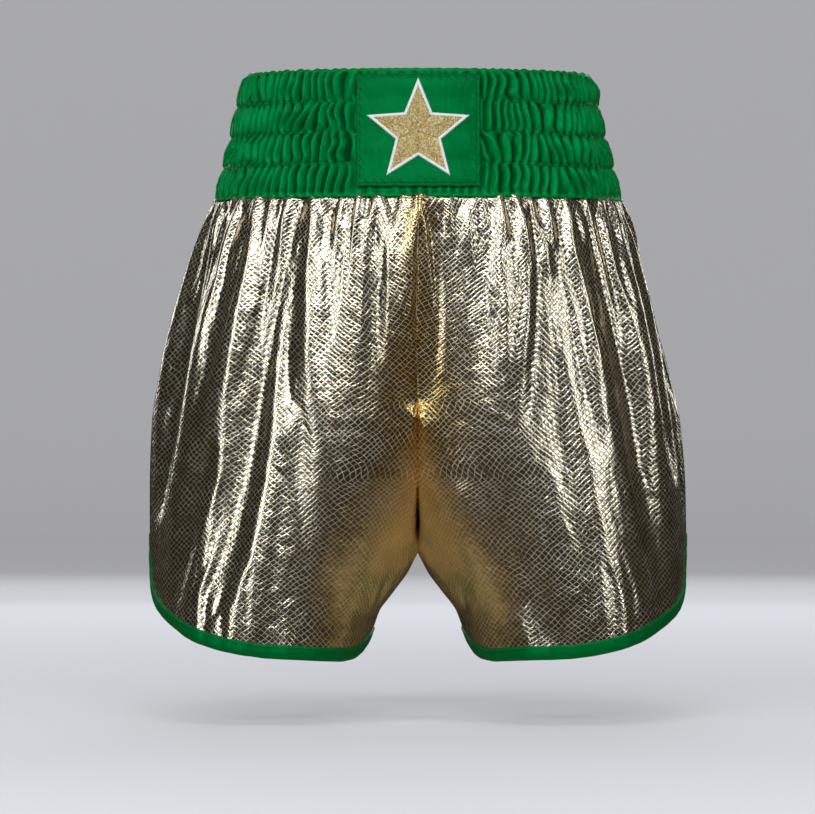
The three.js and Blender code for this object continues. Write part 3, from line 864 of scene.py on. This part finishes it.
def badge_offset(x, z):
    """How far out the badge's face lies: it waves a little, and draws in at its stitching."""
    billow = 0.22 * np.sin(0.09 * x + 0.6) * np.cos(0.11 * z + 0.4)
    billow = billow + 0.12 * np.sin(0.21 * x + 0.13 * z)
    channels = 0.3 * np.cos((z - SEAM) * 2 * np.pi / CHANNEL)
    edge = edge_distance(x, z)
    pucker = 0.22 * np.sin(0.9 * (x + z)) * bell(edge, SEWN_IN, 3.0)
    groove = -0.42 * bell(edge, SEWN_IN, 0.8)
    return 5.0 + (billow - channels) * ease(edge / 10) + pucker + groove


def build_badge():
    def crowded(count):
        """-1 to 1, closer together towards both ends."""
        t = np.linspace(-1, 1, count)
        return np.sign(t) * (1 - (1 - np.abs(t)) ** 1.25)

    x, z = np.meshgrid(BADGE_X * crowded(140), BADGE_MID + BADGE_HALF * crowded(130))
    edge = np.clip(edge_distance(x, z) / 0.8, 0, 1)
    fold = np.sqrt(np.clip(1 - (1 - edge) ** 2, 0, 1))
    uneven_x = 0.25 * np.sin(0.35 * z + 1) + 0.15 * np.sin(0.8 * z)
    uneven_z = 0.25 * np.sin(0.31 * x + 1) + 0.15 * np.sin(0.9 * x)
    moved_x = x + uneven_x * (np.abs(x) / BADGE_X) ** 8 * np.sign(x)
    moved_z = z + uneven_z * (np.abs(z - BADGE_MID) / BADGE_HALF) ** 8
    outer = front(moved_x, moved_z, badge_offset(x, z) * fold + (1 - fold) * 4.2)
    ob = shell("badge_satin", outer, front(moved_x, moved_z, 3.9))
    attribute(ob, "pattern", np.concatenate([pattern_pairs(x, z)] * 2))
    register(outward(ob), "badge_satin", "badge_panel")


def build_badge_stitching():
    right, low, high = BADGE_X - SEWN_IN, BADGE_LOW + SEWN_IN, BADGE_HIGH - SEWN_IN
    corners = [(-right, low), (right, low), (right, high), (-right, high), (-right, low)]
    path = np.concatenate([
        np.linspace(a, b, 120, endpoint=False) for a, b in zip(corners[:-1], corners[1:])])
    x, z = path[:, 0], path[:, 1]
    points = front(x, z, badge_offset(x, z))
    normals = front(x, z, badge_offset(x, z) + 1) - points
    parts = stitches(points, normals, length=2.2, gap=0.8, radius=0.26, lift=0.12, jitter=0.08,
                     seed=77)
    register(joined("badge_stitching", parts), "stitch_thread")


build_badge()
build_badge_stitching()

# ------------------------------------------------------------------ star
STAR_RADIUS, STAR_NOTCH = 43.0, 0.44  # to the tips; the notches' share of it
CORD_WIDTH = 1.7  # of the raised cord round the star
TOWARDS_FRONT = (0, -1, 0)


def cross(a, b):
    return a[0] * b[1] - a[1] * b[0]


def star_corner(i):
    radius = STAR_RADIUS if i % 2 == 0 else STAR_RADIUS * STAR_NOTCH
    angle = math.pi / 2 + i * math.pi / 5
    return [radius * math.cos(angle), radius * math.sin(angle)]


STAR = np.array([star_corner(i) for i in range(10)])
INNER_STAR = STAR * (
    1 - CORD_WIDTH / (abs(cross(STAR[0], STAR[1])) / np.linalg.norm(STAR[0] - STAR[1])))


def on_badge(points, height):
    """Points of the badge, as x and z from the star's centre, raised by height."""
    x, z = points[..., 0], points[..., 1] + MIDDLE
    return front(x, z, badge_offset(x, z) + height)


def reach(origin, direction, outline):
    """How far a ray runs before it leaves an outline."""
    best = 1e9
    for i in range(len(outline)):
        start = outline[i]
        edge = outline[(i + 1) % len(outline)] - start
        slope = cross(direction, edge)
        if abs(slope) < 1e-9:
            continue
        distance = cross(start - origin, edge) / slope
        share = cross(start - origin, direction) / slope
        if distance > 1e-6 and -1e-9 <= share <= 1 + 1e-9:
            best = min(best, distance)
    return best


def build_star():
    """Slanted threads on both sides of each arm's middle line, over a thin base."""
    rings = [INNER_STAR * f for f in (0.02, 0.25, 0.5, 0.75, 1.0)]
    base = np.stack([resample(close(r), 81)[:-1] for r in rings])
    quads = grid_quads(5, 80, False, True)[:, ::-1].tolist()
    parts = [(on_badge(base, 0.25).reshape(-1, 3), quads)]
    pitch, lean = 0.5, 0.45  # between threads; their slant in radians
    along = np.array([0, 0.06, 0.3, 0.6, 0.9, 1.0])
    height = np.array([0.9, 1.15, 1.0, 0.85, 0.7, 0.35])
    for arm in range(5):
        tip = INNER_STAR[2 * arm]
        length = np.linalg.norm(tip)
        middle = tip / length
        for sign in (1, -1):
            across = np.array([-middle[1], middle[0]]) * sign
            direction = across * math.cos(lean) - middle * math.sin(lean)
            notch = INNER_STAR[(2 * arm + sign) % 10]
            notch = notch / np.linalg.norm(notch)
            slope = cross(direction, notch)
            for i in range(1, int(length / pitch)):
                origin = middle * (i * pitch + rng.uniform(-0.05, 0.05))
                run = reach(origin, direction, INNER_STAR)
                # stay within this arm's own sector
                if abs(slope) > 1e-9:
                    to_notch = -cross(origin, notch) / slope
                    if to_notch > 0:
                        run = min(run, to_notch)
                if run < 0.6 or run > 60:
                    continue
                path = origin + direction * (along * run)[:, None]
                raised = on_badge(path, height + rng.uniform(-0.05, 0.05))
                parts.append(sweep(raised, 0.29, TOWARDS_FRONT))
    register(outward(joined("star_embroidery", parts)), "star_thread", "badge_star_fill")


def build_star_cord():
    """The raised cord round the star: short threads laid across its outline."""
    parts = []
    across = np.array([-0.12, 0.0, 0.25, 0.5, 0.75, 1.0, 1.15])
    height = np.array([0.1, 0.75, 1.35, 1.6, 1.45, 1.15, 0.6])
    for corner in range(10):
        after = (corner + 1) % 10
        outer_edge = STAR[after] - STAR[corner]
        inner_edge = INNER_STAR[after] - INNER_STAR[corner]
        count = int(np.linalg.norm(outer_edge) / 0.46)
        for i in range(count + 1):
            f = i / count
            outer = STAR[corner] + outer_edge * f
            inner = INNER_STAR[corner] + inner_edge * f
            path = outer + (inner - outer) * across[:, None]
            raised = on_badge(path, height + rng.uniform(-0.05, 0.05))
            parts.append(sweep(raised, 0.28, TOWARDS_FRONT))
    register(outward(joined("star_cord", parts)), "star_border_thread", "badge_star_border")


build_star()
build_star_cord()


# ------------------------------------------------------------------ inside the waistband
def build_facing():
    cols, rows = 720, 60
    angles, turn = even_angles(cols), circle(cols)
    heights = np.linspace(SEAM + 0.5, TOP - 1.8, rows)
    outer = []
    for z in heights:
        f = ((z - SEAM) / CHANNEL) % 1.0
        bulge = math.sin(math.pi * f) ** 0.6
        c = min(int((z - SEAM) / CHANNEL), CHANNELS - 1)
        gathers = np.cos(
            [104, 98, 107, 101][c] * turn + 1.8 * wave(turn, 120 + c, terms=10, lowest=5)
            + (f - 0.5) * 1.5 * wave(turn, 130 + c, terms=8, lowest=3))
        outer.append(ring(angles, z, -7.2 - 0.35 * bulge + gathers * (0.15 + 0.4 * bulge)))
    outer = np.array(outer)
    inner = outer + unit(outer.mean(axis=1, keepdims=True) - outer) * 0.6
    ob = shell("facing_gathered", outer, inner, close_cols=True)
    length = arc(ring(angles, MIDDLE)) * 1.4
    pattern = np.stack([np.tile(length, rows), np.repeat(heights, cols)], 1)
    attribute(ob, "pattern", np.concatenate([pattern, pattern]))
    attribute(ob, "lining_and_painted_bounce", np.repeat([[1.0, 0], [0.0, 0]], rows * cols, axis=0))
    register(outward(ob), "facing_foil", "waistband_facing")


def build_elastic(number):
    lo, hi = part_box(f"elastic_band_{number}")
    cols, rows = 480, 7
    angles = even_angles(cols)
    heights = np.linspace(lo[2] / MM, hi[2] / MM, rows)
    size = np.array([1, 0.6, 0.4, 0.3, 0.4, 0.6, 1])
    ripple = 0.14 * np.cos(120 * circle(cols))[None] * size[:, None]
    outer = ring(angles, heights[:, None], -1.95 + ripple)
    inner = ring(angles, heights[:, None], -3.4 + ripple)
    ob = shell(f"elastic_{number}", outer, inner, close_cols=True)
    length = arc(ring(angles, MIDDLE))
    pattern = np.stack([np.tile(length, rows), np.repeat(heights, cols)], 1)
    attribute(ob, "pattern", np.concatenate([pattern, pattern]))
    register(outward(ob), "elastic", f"elastic_band_{number}")


build_facing()
for number in range(1, CHANNELS + 1):
    build_elastic(number)


# ------------------------------------------------------------------ drawcord
def flat_profile(width, thickness):
    turn = circle(12)
    return np.stack([thickness / 2 * squared(np.cos(turn), 2.6),
                     width / 2 * squared(np.sin(turn), 2.6)], 1)


def cord_object(name, strands, up):
    """Cord along several strands, each a path and its profile."""
    parts, patterns = [], []
    for path, profile in strands:
        parts.append(sweep(path, 1.0, up, profile))
        s = arc(path)
        around = np.stack([np.repeat(s, len(profile)), np.tile(profile[:, 1], len(path))], 1)
        patterns.append(np.concatenate([around, [[s[0], 0], [s[-1], 0]]]))
    ob = joined(name, parts)
    attribute(ob, "pattern", np.concatenate(patterns))
    return outward(ob)


EYELET_X = 14.0
SIDES = {"left": 1, "right": -1}
EYELETS = {side: front(np.array(EYELET_X * k), np.array(CORD_Z), -7.4) for side, k in SIDES.items()}
# the rolled rim in section: radius, height towards the front
EYELET_RIM = [(2.5, 0.6), (2.45, -0.3), (2.8, -0.95), (3.5, -1.15), (4.3, -0.85), (4.7, -0.2),
              (4.6, 0.35), (3.6, 0.3), (2.9, 0.75)]


def build_drawcord():
    """The loop round the waist, from the right eyelet round the back to the left one."""
    angles = np.linspace(93.4, 446.6, 420)
    loop = ring(angles, CORD_Z + 0.4 * np.sin(np.radians(angles) * 9), -5.2)
    first, last = EYELETS["right"] + (0, 0.4, 0), EYELETS["left"] + (0, 0.4, 0)
    inward = np.array((0, 3.2, 0))
    path = np.concatenate([[first + inward, first], loop[4:-4], [last, last + inward]])
    ob = cord_object("drawcord_loop", [(path, flat_profile(3.8, 1.7))], (0, 0, 1))
    register(ob, "drawcord", "drawcord")


def build_eyelet(side):
    x, y, _ = EYELETS[side]
    points = np.array([
        [(x + r * math.cos(t), y - h + 0.2, CORD_Z + r * math.sin(t)) for r, h in EYELET_RIM]
        for t in circle(40)])
    quads = grid_quads(40, len(EYELET_RIM), True, True)
    ob = outward(quad_object("eyelet_" + side, points.reshape(-1, 3), quads))
    register(ob, "eyelet", "drawcord_eyelet_" + side)


def build_cord_end(side, k):
    """Down from the eyelet to an overhand knot, with a short free end; k is the side's sign."""
    lo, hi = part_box("drawcord_tail_" + side)
    x, y = (lo[0] + hi[0]) / 2 / MM, (lo[1] + hi[1]) / 2 / MM
    knot_z = lo[2] / MM + 5.5
    hang = curve([
        (x, y - 1.2, 387.2), (x, y - 0.1, 385.0), (x + 0.3 * k, y + 0.3, 371),
        (x - 0.6 * k, y - 0.2, 352), (x + 0.5 * k, y + 0.3, 336), (x, y, knot_z + 3.5)], 70)
    t = np.linspace(0, 2 * np.pi, 46)
    swell = 0.9 * np.cos(3 * t)
    turn = 2 * t + 0.6
    knot = np.stack([
        x + (2.0 + swell) * np.cos(turn), y + 1.25 * np.sin(3 * t),
        knot_z + (2.4 + swell) * np.sin(turn)], 1)
    free_end = curve([
        (x + 0.6, y, knot_z - 1), (x + 0.8 * k, y + 0.3, knot_z - 4),
        (x + 1.1 * k, y, knot_z - 6.2)], 14)
    strands = [(hang, flat_profile(4.2, 1.7)), (knot, flat_profile(2.3, 1.9)),
               (free_end, flat_profile(3.6, 1.5))]
    ob = cord_object("cord_end_" + side, strands, (1, 0, 0))
    register(ob, "drawcord", "drawcord_tail_" + side, ride="cord_tail_" + side)


build_drawcord()
for side, k in SIDES.items():
    build_eyelet(side)
    build_cord_end(side, k)


# ------------------------------------------------------------------ label
def build_label():
    """A blank woven label inside the back, lifted a little at its lower edge."""
    x, z = np.meshgrid(np.linspace(-LABEL_X, LABEL_X, 40), np.linspace(LABEL_LOW, LABEL_HIGH, 34))
    drop = (LABEL_HIGH - z) / (LABEL_HIGH - LABEL_LOW)
    lift = 1.6 * drop**2 * (1 + 0.25 * np.cos(x * 0.12 + 0.5)) + 0.25 * np.sin(x * 0.2)
    outer = front(x, z, -8.5 - lift, back=True)
    inner = front(x, z, -8.95 - lift, back=True)
    ob = shell("label_woven", outer, inner)
    attribute(ob, "pattern", np.concatenate([pattern_pairs(x, z)] * 2))
    register(outward(ob), "label", "size_label")


build_label()


# ------------------------------------------------------------------ shader nodes
class Value:
    """A node's output; arithmetic on it adds math nodes."""

    def __init__(self, nodes, socket):
        self.nodes, self.socket = nodes, socket

    def __add__(self, other):
        return self.nodes.math("ADD", self, other)

    def __radd__(self, other):
        return self.nodes.math("ADD", other, self)

    def __sub__(self, other):
        return self.nodes.math("SUBTRACT", self, other)

    def __rsub__(self, other):
        return self.nodes.math("SUBTRACT", other, self)

    def __mul__(self, other):
        return self.nodes.math("MULTIPLY", self, other)

    def __truediv__(self, other):
        return self.nodes.math("DIVIDE", self, other)


class Nodes:
    def __init__(self, owner):
        """Owner is a material or a world."""
        owner.use_nodes = True
        self.owner, self.tree = owner, owner.node_tree

    def new(self, kind, **settings):
        node = self.tree.nodes.new(kind)
        for key, value in settings.items():
            setattr(node, key, value)
        return node

    def put(self, value, socket):
        if isinstance(value, Value):
            self.tree.links.new(value.socket, socket)
        else:
            socket.default_value = value

    def output(self, node, key=0):
        return Value(self, node.outputs[key])

    def math(self, operation, *values):
        node = self.new("ShaderNodeMath", operation=operation)
        for value, socket in zip(values, node.inputs):
            self.put(value, socket)
        return self.output(node)

    def sine(self, value):
        return self.math("SINE", value)

    def vector(self, operation, a, b=None, scale=None):
        node = self.new("ShaderNodeVectorMath", operation=operation)
        self.put(a, node.inputs[0])
        if b is not None:
            self.put(b, node.inputs[1])
        if scale is not None:
            self.put(scale, node.inputs["Scale"])
        return self.output(node)

    def attribute(self, name):
        return self.output(self.new("ShaderNodeAttribute", attribute_name=name), "Vector")

    def coordinates(self, kind):
        return self.output(self.new("ShaderNodeTexCoord"), kind)

    def split(self, vector):
        node = self.new("ShaderNodeSeparateXYZ")
        self.put(vector, node.inputs[0])
        return [Value(self, socket) for socket in node.outputs]

    def join(self, x, y, z=0.0):
        node = self.new("ShaderNodeCombineXYZ")
        for value, socket in zip((x, y, z), node.inputs):
            self.put(value, socket)
        return self.output(node)

    def noise(self, vector, scale, detail=2.0, rough=0.5, out="Fac"):
        node = self.new("ShaderNodeTexNoise", noise_dimensions="3D")
        self.put(vector, node.inputs["Vector"])
        node.inputs["Scale"].default_value = scale
        node.inputs["Detail"].default_value = detail
        node.inputs["Roughness"].default_value = rough
        return self.output(node, out)

    def drift(self, vector, scale, amount):
        """A noise vector centred on zero."""
        noise = self.noise(vector, scale, out="Color")
        return self.vector("SCALE", self.vector("SUBTRACT", noise, (0.5, 0.5, 0.5)), scale=amount)

    def random(self, vector):
        """Three random values for each place."""
        node = self.new("ShaderNodeTexWhiteNoise", noise_dimensions="3D")
        self.put(vector, node.inputs["Vector"])
        return self.split(self.output(node, "Color"))

    def ramp(self, value, start, end, low=0.0, high=1.0, shape="SMOOTHSTEP"):
        """Low at start, high at end."""
        node = self.new("ShaderNodeMapRange", interpolation_type=shape)
        self.put(value, node.inputs["Value"])
        limits = (("From Min", start), ("From Max", end), ("To Min", low), ("To Max", high))
        for key, limit in limits:
            self.put(limit, node.inputs[key])
        return self.output(node)

    def mix(self, share, a, b):
        """Colour a where share is 0, b where it is 1."""
        node = self.new("ShaderNodeMix", data_type="RGBA")
        for key, value in ((0, share), (6, a), (7, b)):
            self.put(value, node.inputs[key])
        return self.output(node, 2)

    def bump(self, height, distance, strength):
        node = self.new("ShaderNodeBump")
        node.inputs["Strength"].default_value = strength
        node.inputs["Distance"].default_value = distance
        self.put(height, node.inputs["Height"])
        return self.output(node)

    def surface(self, **values):
        """Sets the Principled BSDF's inputs, and returns the material."""
        bsdf = self.tree.nodes["Principled BSDF"]
        for key, value in values.items():
            self.put(value, bsdf.inputs[key.replace("_", " ")])
        return self.owner


def material_nodes(name):
    return Nodes(bpy.data.materials.new(name))


def darker(colour, share):
    return tuple(c * share for c in colour[:3]) + (1,)


# ------------------------------------------------------------------ materials
def foil_material():
    """Gold foil in irregular diamonds with pale lines between them; knitted on its inner face."""
    m = material_nodes("foil")
    place = m.attribute("pattern")
    broad_drift = m.drift(place, scale=0.035, amount=9.0)
    fine_drift = m.drift(place, scale=0.22, amount=1.3)
    moved = m.vector("ADD", m.vector("ADD", place, broad_drift), fine_drift)
    x, y, _ = m.split(moved)
    wide, high = 5.6, 4.7  # size of a diamond
    a = x / wide + y / high
    b = x / wide - y / high
    across_a, across_b = m.math("FRACT", a) - 0.5, m.math("FRACT", b) - 0.5
    edge_a = 0.5 - m.math("ABSOLUTE", across_a)
    edge_b = 0.5 - m.math("ABSOLUTE", across_b)
    near = m.math("MINIMUM", edge_a, edge_b)
    line = m.ramp(near, start=0.018, end=0.062, low=1.0, high=0.0)
    diamond = m.random(m.join(m.math("FLOOR", a), m.math("FLOOR", b)))
    side = m.random(m.join(m.math("ROUND", a), m.math("FLOOR", b * 1.0), 7.0))[0]
    patches = m.ramp(m.noise(place, scale=0.05), start=0.3, end=0.62)
    line = line * (0.5 + side * patches * 0.6)

    tilt = across_a * (diamond[0] - 0.5) + across_b * (diamond[1] - 0.5)
    dome = m.math("POWER", m.ramp(near, start=0.0, end=0.32), 0.7)
    crinkle = m.noise(moved, scale=0.55, detail=3.0, rough=0.6)
    broad = m.noise(place, scale=0.09)
    # share of each in the relief, in millimetres
    height = (dome * 0.09 + tilt * 0.14) + (crinkle * 0.05 + broad * 0.55)
    knit = m.sine(m.split(place)[0] * 5.2) * m.sine(m.split(place)[1] * 4.2)
    inside = m.split(m.attribute("lining_and_painted_bounce"))[0]

    tone = m.noise(place, scale=0.03, detail=3.0)
    face = m.mix(tone, (0.85, 0.73, 0.52, 1), (0.78, 0.65, 0.41, 1))
    face = m.mix(diamond[2] * 0.25, face, (0.60, 0.48, 0.24, 1))
    # painted reflection: amber tint near the centre seam and crotch, standing in for gold mirrored in
    # gold
    face = m.mix(m.split(m.attribute("lining_and_painted_bounce"))[1], face, (0.74, 0.46, 0.08, 1))
    gold = m.mix(line, face, (0.94, 0.90, 0.78, 1))
    # a smooth base, roughened by the lines, by smudges and on the inner face
    smudge = m.noise(place, scale=0.12, detail=3.0)
    rough = 0.12 + line * 0.2 + smudge * 0.12 + inside * 0.45
    relief = height * (1.0 - inside) + knit * 0.12 * inside
    return m.surface(
        Base_Color=m.mix(inside, gold, (0.60, 0.54, 0.41, 1)),
        Metallic=1.0 - m.math("MAXIMUM", inside, line * 0.14),
        Roughness=rough,
        Normal=m.bump(relief, distance=0.001, strength=0.9))


def satin_material(name, wrinkle, painted_light_level, painted_cavity_shade=False):
    """Green satin: wrinkle is the creases' height; the green is scaled per copy, painted light and
    shade that makes copies of one satin lighter or darker, and can be darkened in marked hollows with
    painted shade.
    """
    m = material_nodes(name)
    place = m.attribute("pattern")
    x, y, _ = m.split(place)
    thread = m.sine(y * 11.0 + x * 1.4)
    slub = m.noise(m.join(x * 0.5, y * 6.0), scale=1.0, detail=3.0, rough=0.6)
    crease = m.noise(m.join(x * 1.0, y * 0.35), scale=0.22, detail=3.0)
    relief = thread * 0.012 + (slub * 0.05 + crease * wrinkle)
    tone = m.noise(place, scale=0.06, detail=3.0)
    colour = m.mix(tone, (0.0, 0.108 * painted_light_level, 0.019 * painted_light_level, 1),
                   (0.0, 0.142 * painted_light_level, 0.027 * painted_light_level, 1))
    # painted shade: the green darkens to near black in the marked hollows between the gathers
    if painted_cavity_shade:
        colour = m.mix(m.split(m.attribute("painted_cavity_shade"))[0], colour, (0.0, 0.022, 0.003, 1))
    return m.surface(
        Base_Color=colour, Metallic=0.45, Roughness=0.27 + slub * 0.14,
        Normal=m.bump(relief, distance=0.001, strength=0.8), Sheen_Weight=0.05,
        Sheen_Roughness=0.35, Sheen_Tint=(0.05, 0.8, 0.3, 1),
        Specular_Tint=(0.03, 1.0, 0.36, 1), Specular_IOR_Level=0.5)


def thread_twist(m, place):
    return m.noise(place, scale=2600.0, rough=0.6)


def thread_material(name, colour, sheen):
    m = material_nodes(name)
    twist = thread_twist(m, m.coordinates("Object"))
    return m.surface(
        Base_Color=m.mix(twist, darker(colour, 0.72), colour), Metallic=0.0, Roughness=0.5,
        Normal=m.bump(twist, distance=0.0002, strength=0.7), Sheen_Weight=sheen,
        Sheen_Roughness=0.5)


def glitter_material():
    """Gold thread with bright and reddish flecks."""
    m = material_nodes("glitter")
    place = m.coordinates("Object")
    twist = thread_twist(m, place)
    flecks = m.new("ShaderNodeTexVoronoi")
    m.put(place, flecks.inputs["Vector"])
    flecks.inputs["Scale"].default_value = 1150.0
    shade, bright, red = m.split(m.output(flecks, "Color"))
    colour = m.mix(m.ramp(shade, start=0.30, end=0.95),
                   (0.62, 0.47, 0.15, 1), (0.96, 0.82, 0.42, 1))
    colour = m.mix(m.ramp(bright, start=0.80, end=0.92), colour, (1.0, 0.93, 0.62, 1))
    colour = m.mix(m.ramp(red, start=0.86, end=0.95) * 0.6, colour, (0.85, 0.30, 0.14, 1))
    return m.surface(
        Base_Color=colour, Metallic=0.8, Roughness=0.22 + red * 0.3,
        Normal=m.bump(shade * 0.5 + twist, distance=0.00035, strength=1.0))


def woven_material(name, colour, ribs, lines, depth, bordered=False):
    """Plain weave: ribs and lines are its repeats in x and y, depth its height."""
    m = material_nodes(name)
    place = m.attribute("pattern")
    x, y, _ = m.split(place)
    weave = m.sine(x * (2 * math.pi / ribs)) * m.sine(y * (2 * math.pi / lines))
    fuzz = m.noise(place, scale=1.6, detail=3.0, rough=0.6)
    base = m.mix(weave * 0.35 + fuzz, darker(colour, 0.70), colour)
    if bordered:
        # a line of green thread woven in, a little way inside the label's edges
        side = LABEL_X - m.math("ABSOLUTE", x)
        ends = m.math("MINIMUM", y - LABEL_LOW, LABEL_HIGH - y)
        from_line = m.math("ABSOLUTE", m.math("MINIMUM", side, ends) - 2.4)
        base = m.mix(m.ramp(from_line, start=0.35, end=0.6), (0.01, 0.20, 0.06, 1), base)
    return m.surface(
        Base_Color=base, Roughness=0.8,
        Normal=m.bump(weave * depth + fuzz * 0.06, distance=0.001, strength=0.9),
        Sheen_Weight=0.2, Sheen_Roughness=0.6)


def braid_material():
    m = material_nodes("cord")
    place = m.attribute("pattern")
    x, y, _ = m.split(place)
    chevron = m.sine((x + m.math("ABSOLUTE", y) * 1.1) * 4.6)
    fuzz = m.noise(place, scale=2.2, detail=3.0, rough=0.6)
    return m.surface(
        Base_Color=m.mix(chevron * 0.4 + 0.5, (0.62, 0.62, 0.58, 1), (0.88, 0.88, 0.84, 1)),
        Roughness=0.75,
        Normal=m.bump(chevron * 0.16 + fuzz * 0.08, distance=0.001, strength=0.9),
        Sheen_Weight=0.2)


def brass_material():
    m = material_nodes("brass")
    wear = m.noise(m.coordinates("Object"), scale=420.0, detail=3.0, rough=0.6)
    return m.surface(
        Base_Color=m.mix(wear, (0.60, 0.42, 0.16, 1), (0.78, 0.58, 0.26, 1)), Metallic=1.0,
        Roughness=0.16 + wear * 0.2, Normal=m.bump(wear, distance=0.00008, strength=0.6))


foil = foil_material()
# one green satin, painted lighter on the ruched band than on the badge and the binding
satin_ruched = satin_material("satin_ruched", wrinkle=0.30, painted_light_level=1.28, painted_cavity_shade=True)
satin_flat = satin_material("satin_flat", wrinkle=0.5, painted_light_level=0.80)
satin_bind = satin_material("satin_bind", wrinkle=0.55, painted_light_level=0.9)
thread_green = thread_material("thread_green", (0.004, 0.125, 0.032, 1), sheen=0.0)
thread_white = thread_material("thread_white", (0.60, 0.61, 0.57, 1), sheen=0.2)
glitter = glitter_material()
elastic = woven_material("elastic", (0.84, 0.84, 0.81, 1), ribs=1.1, lines=1.8, depth=0.2)
label = woven_material("label", (0.76, 0.76, 0.71, 1), ribs=0.8, lines=0.8, depth=0.1,
                       bordered=True)
cord = braid_material()
brass = brass_material()
SLOT_MATERIALS = {
    "foil_panel": foil, "facing_foil": foil, "waistband_satin": satin_ruched,
    "badge_satin": satin_flat, "binding_satin": satin_bind, "bartack_thread": thread_green,
    "stitch_thread": thread_green, "star_thread": glitter, "star_border_thread": thread_white,
    "elastic": elastic, "label": label, "drawcord": cord, "eyelet": brass}


def dress(ob, slot):
    ob.data.materials.clear()
    ob.data.materials.append(SLOT_MATERIALS[slot])


for ob, slot in made:
    dress(ob, slot)
for part in frame["record"]["subparts"]:
    node = frame["nodes"].get(part["node"])
    if node:
        dress(node, part["material_slot"])

# ------------------------------------------------------------------ studio, in metres
scene = bpy.context.scene
# the shorts hang clear of the floor, so a swung leg's hem never reaches it
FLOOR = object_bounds()[0][2] - 0.05


def build_floor():
    """A round pale sweep, the same from every side."""
    flat, bend, top = 5.5, 1.5, 6.0  # radius of the flat, radius of the bend, height of the wall
    profile = [(0.0, 0.0), (2.0, 0.0), (flat, 0.0)]
    for t in np.linspace(0.15, math.pi / 2, 12):
        profile.append((flat + bend * math.sin(t), bend - bend * math.cos(t)))
    profile.append((flat + bend, top))
    sides = 64
    turns = [2 * math.pi * i / sides for i in range(sides)]
    verts = [(r * math.cos(t), r * math.sin(t), FLOOR + h) for r, h in profile for t in turns]
    me = bpy.data.meshes.new("studio_floor")
    faces = grid_quads(len(profile), sides, False, True).tolist()
    me.from_pydata(verts, [], faces)
    ob = smooth_object("studio_floor", me)
    me.materials.append(material_nodes("studio_floor").surface(
        Base_Color=(0.37, 0.37, 0.38, 1), Roughness=0.9, Specular_IOR_Level=0.1,
        Emission_Color=(1, 1, 1, 1), Emission_Strength=0.22))
    ob.visible_glossy = False


def softbox(name, location, width, height, power, colour, glossy):
    light = bpy.data.lights.new(name, "AREA")
    light.energy, light.color = power, colour
    light.shape = "RECTANGLE"
    light.size, light.size_y = width, height
    ob = bpy.data.objects.new(name, light)
    scene.collection.objects.link(ob)
    ob.location = location
    aim = Vector((0, 0, 0.28)) - Vector(location)
    ob.rotation_euler = aim.to_track_quat("-Z", "Y").to_euler()
    ob.visible_glossy = glossy


# name, location, width, height, watts of the card, watts of the fill
SOFTBOXES = (
    ("front", (-0.1, -2.9, 1.42), 2.1, 0.6, 23.0, 50),
    ("left", (-1.9, -2.1, 0.95), 0.85, 1.3, 10.0, 24),
    ("right", (2.1, -1.9, 1.05), 0.6, 1.0, 6.0, 14),
    ("over", (0.0, -0.9, 2.6), 1.0, 0.7, 8.0, 14),
    ("back", (0.1, 2.9, 1.42), 2.1, 0.55, 18.0, 30),
    ("back_l", (-2.0, 2.0, 1.0), 0.6, 1.1, 6.0, 10),
    ("back_r", (2.0, 2.0, 1.0), 0.5, 1.0, 5.0, 10))


def build_lights():
    """Dim cards that the foil mirrors, and brighter fills that don't show in it."""
    for name, location, width, height, card, fill in SOFTBOXES:
        softbox("card_" + name, location, width, height, card, (0.83, 0.91, 1.07), glossy=True)
        softbox("fill_" + name, location, width, height, fill, (0.97, 0.98, 1.0), glossy=False)


# what the foil mirrors from straight down, 0, to straight up, 1: a warm pale floor, a dim room
# and a soft grey ceiling
MIRRORED_ROOM = (
    (0.0, (0.27, 0.22, 0.13)), (0.24, (0.19, 0.145, 0.07)), (0.36, (0.055, 0.041, 0.019)),
    (0.42, (0.028, 0.022, 0.012)), (0.50, (0.017, 0.014, 0.010)), (0.70, (0.020, 0.018, 0.014)),
    (0.92, (0.16, 0.16, 0.155)))


def build_world():
    world = bpy.data.worlds.new("studio")
    w = Nodes(world)
    glossy = w.output(w.new("ShaderNodeLightPath"), "Is Glossy Ray")
    room = w.new("ShaderNodeValToRGB")
    elements = room.color_ramp.elements
    for k, (at, colour) in enumerate(MIRRORED_ROOM):
        element = elements[k] if k < 2 else elements.new(at)
        element.position, element.color = at, colour + (1,)
    direction = w.coordinates("Generated")
    height = w.split(direction)[2]
    w.put(w.ramp(height, start=-1.0, end=1.0, shape="LINEAR"), room.inputs[0])
    # the mirrored floor and room aren't one even tone
    patches = w.ramp(w.noise(direction, scale=3.4, detail=3.0), start=0.36, end=0.64, low=0.45,
                     high=1.75, shape="LINEAR")
    mirrored = w.vector("SCALE", w.output(room), scale=patches)
    ambient = (0.25, 0.25, 0.26, 1)
    w.put(w.mix(glossy, ambient, mirrored), w.tree.nodes["Background"].inputs[0])
    scene.world = world


def build_camera():
    distance, view_width = 4.0, 0.676
    camera = bpy.data.cameras.new("camera")
    ob = bpy.data.objects.new("camera", camera)
    scene.collection.objects.link(ob)
    camera.sensor_width = 36
    camera.lens = 36 * distance / view_width
    camera.clip_end = 50
    ob.location = (-0.0087, -distance, 0.202)
    ob.rotation_euler = (math.pi / 2, 0, 0)
    scene.camera = ob


build_floor()
build_lights()
build_world()
build_camera()
scene.view_settings.view_transform = "Standard"
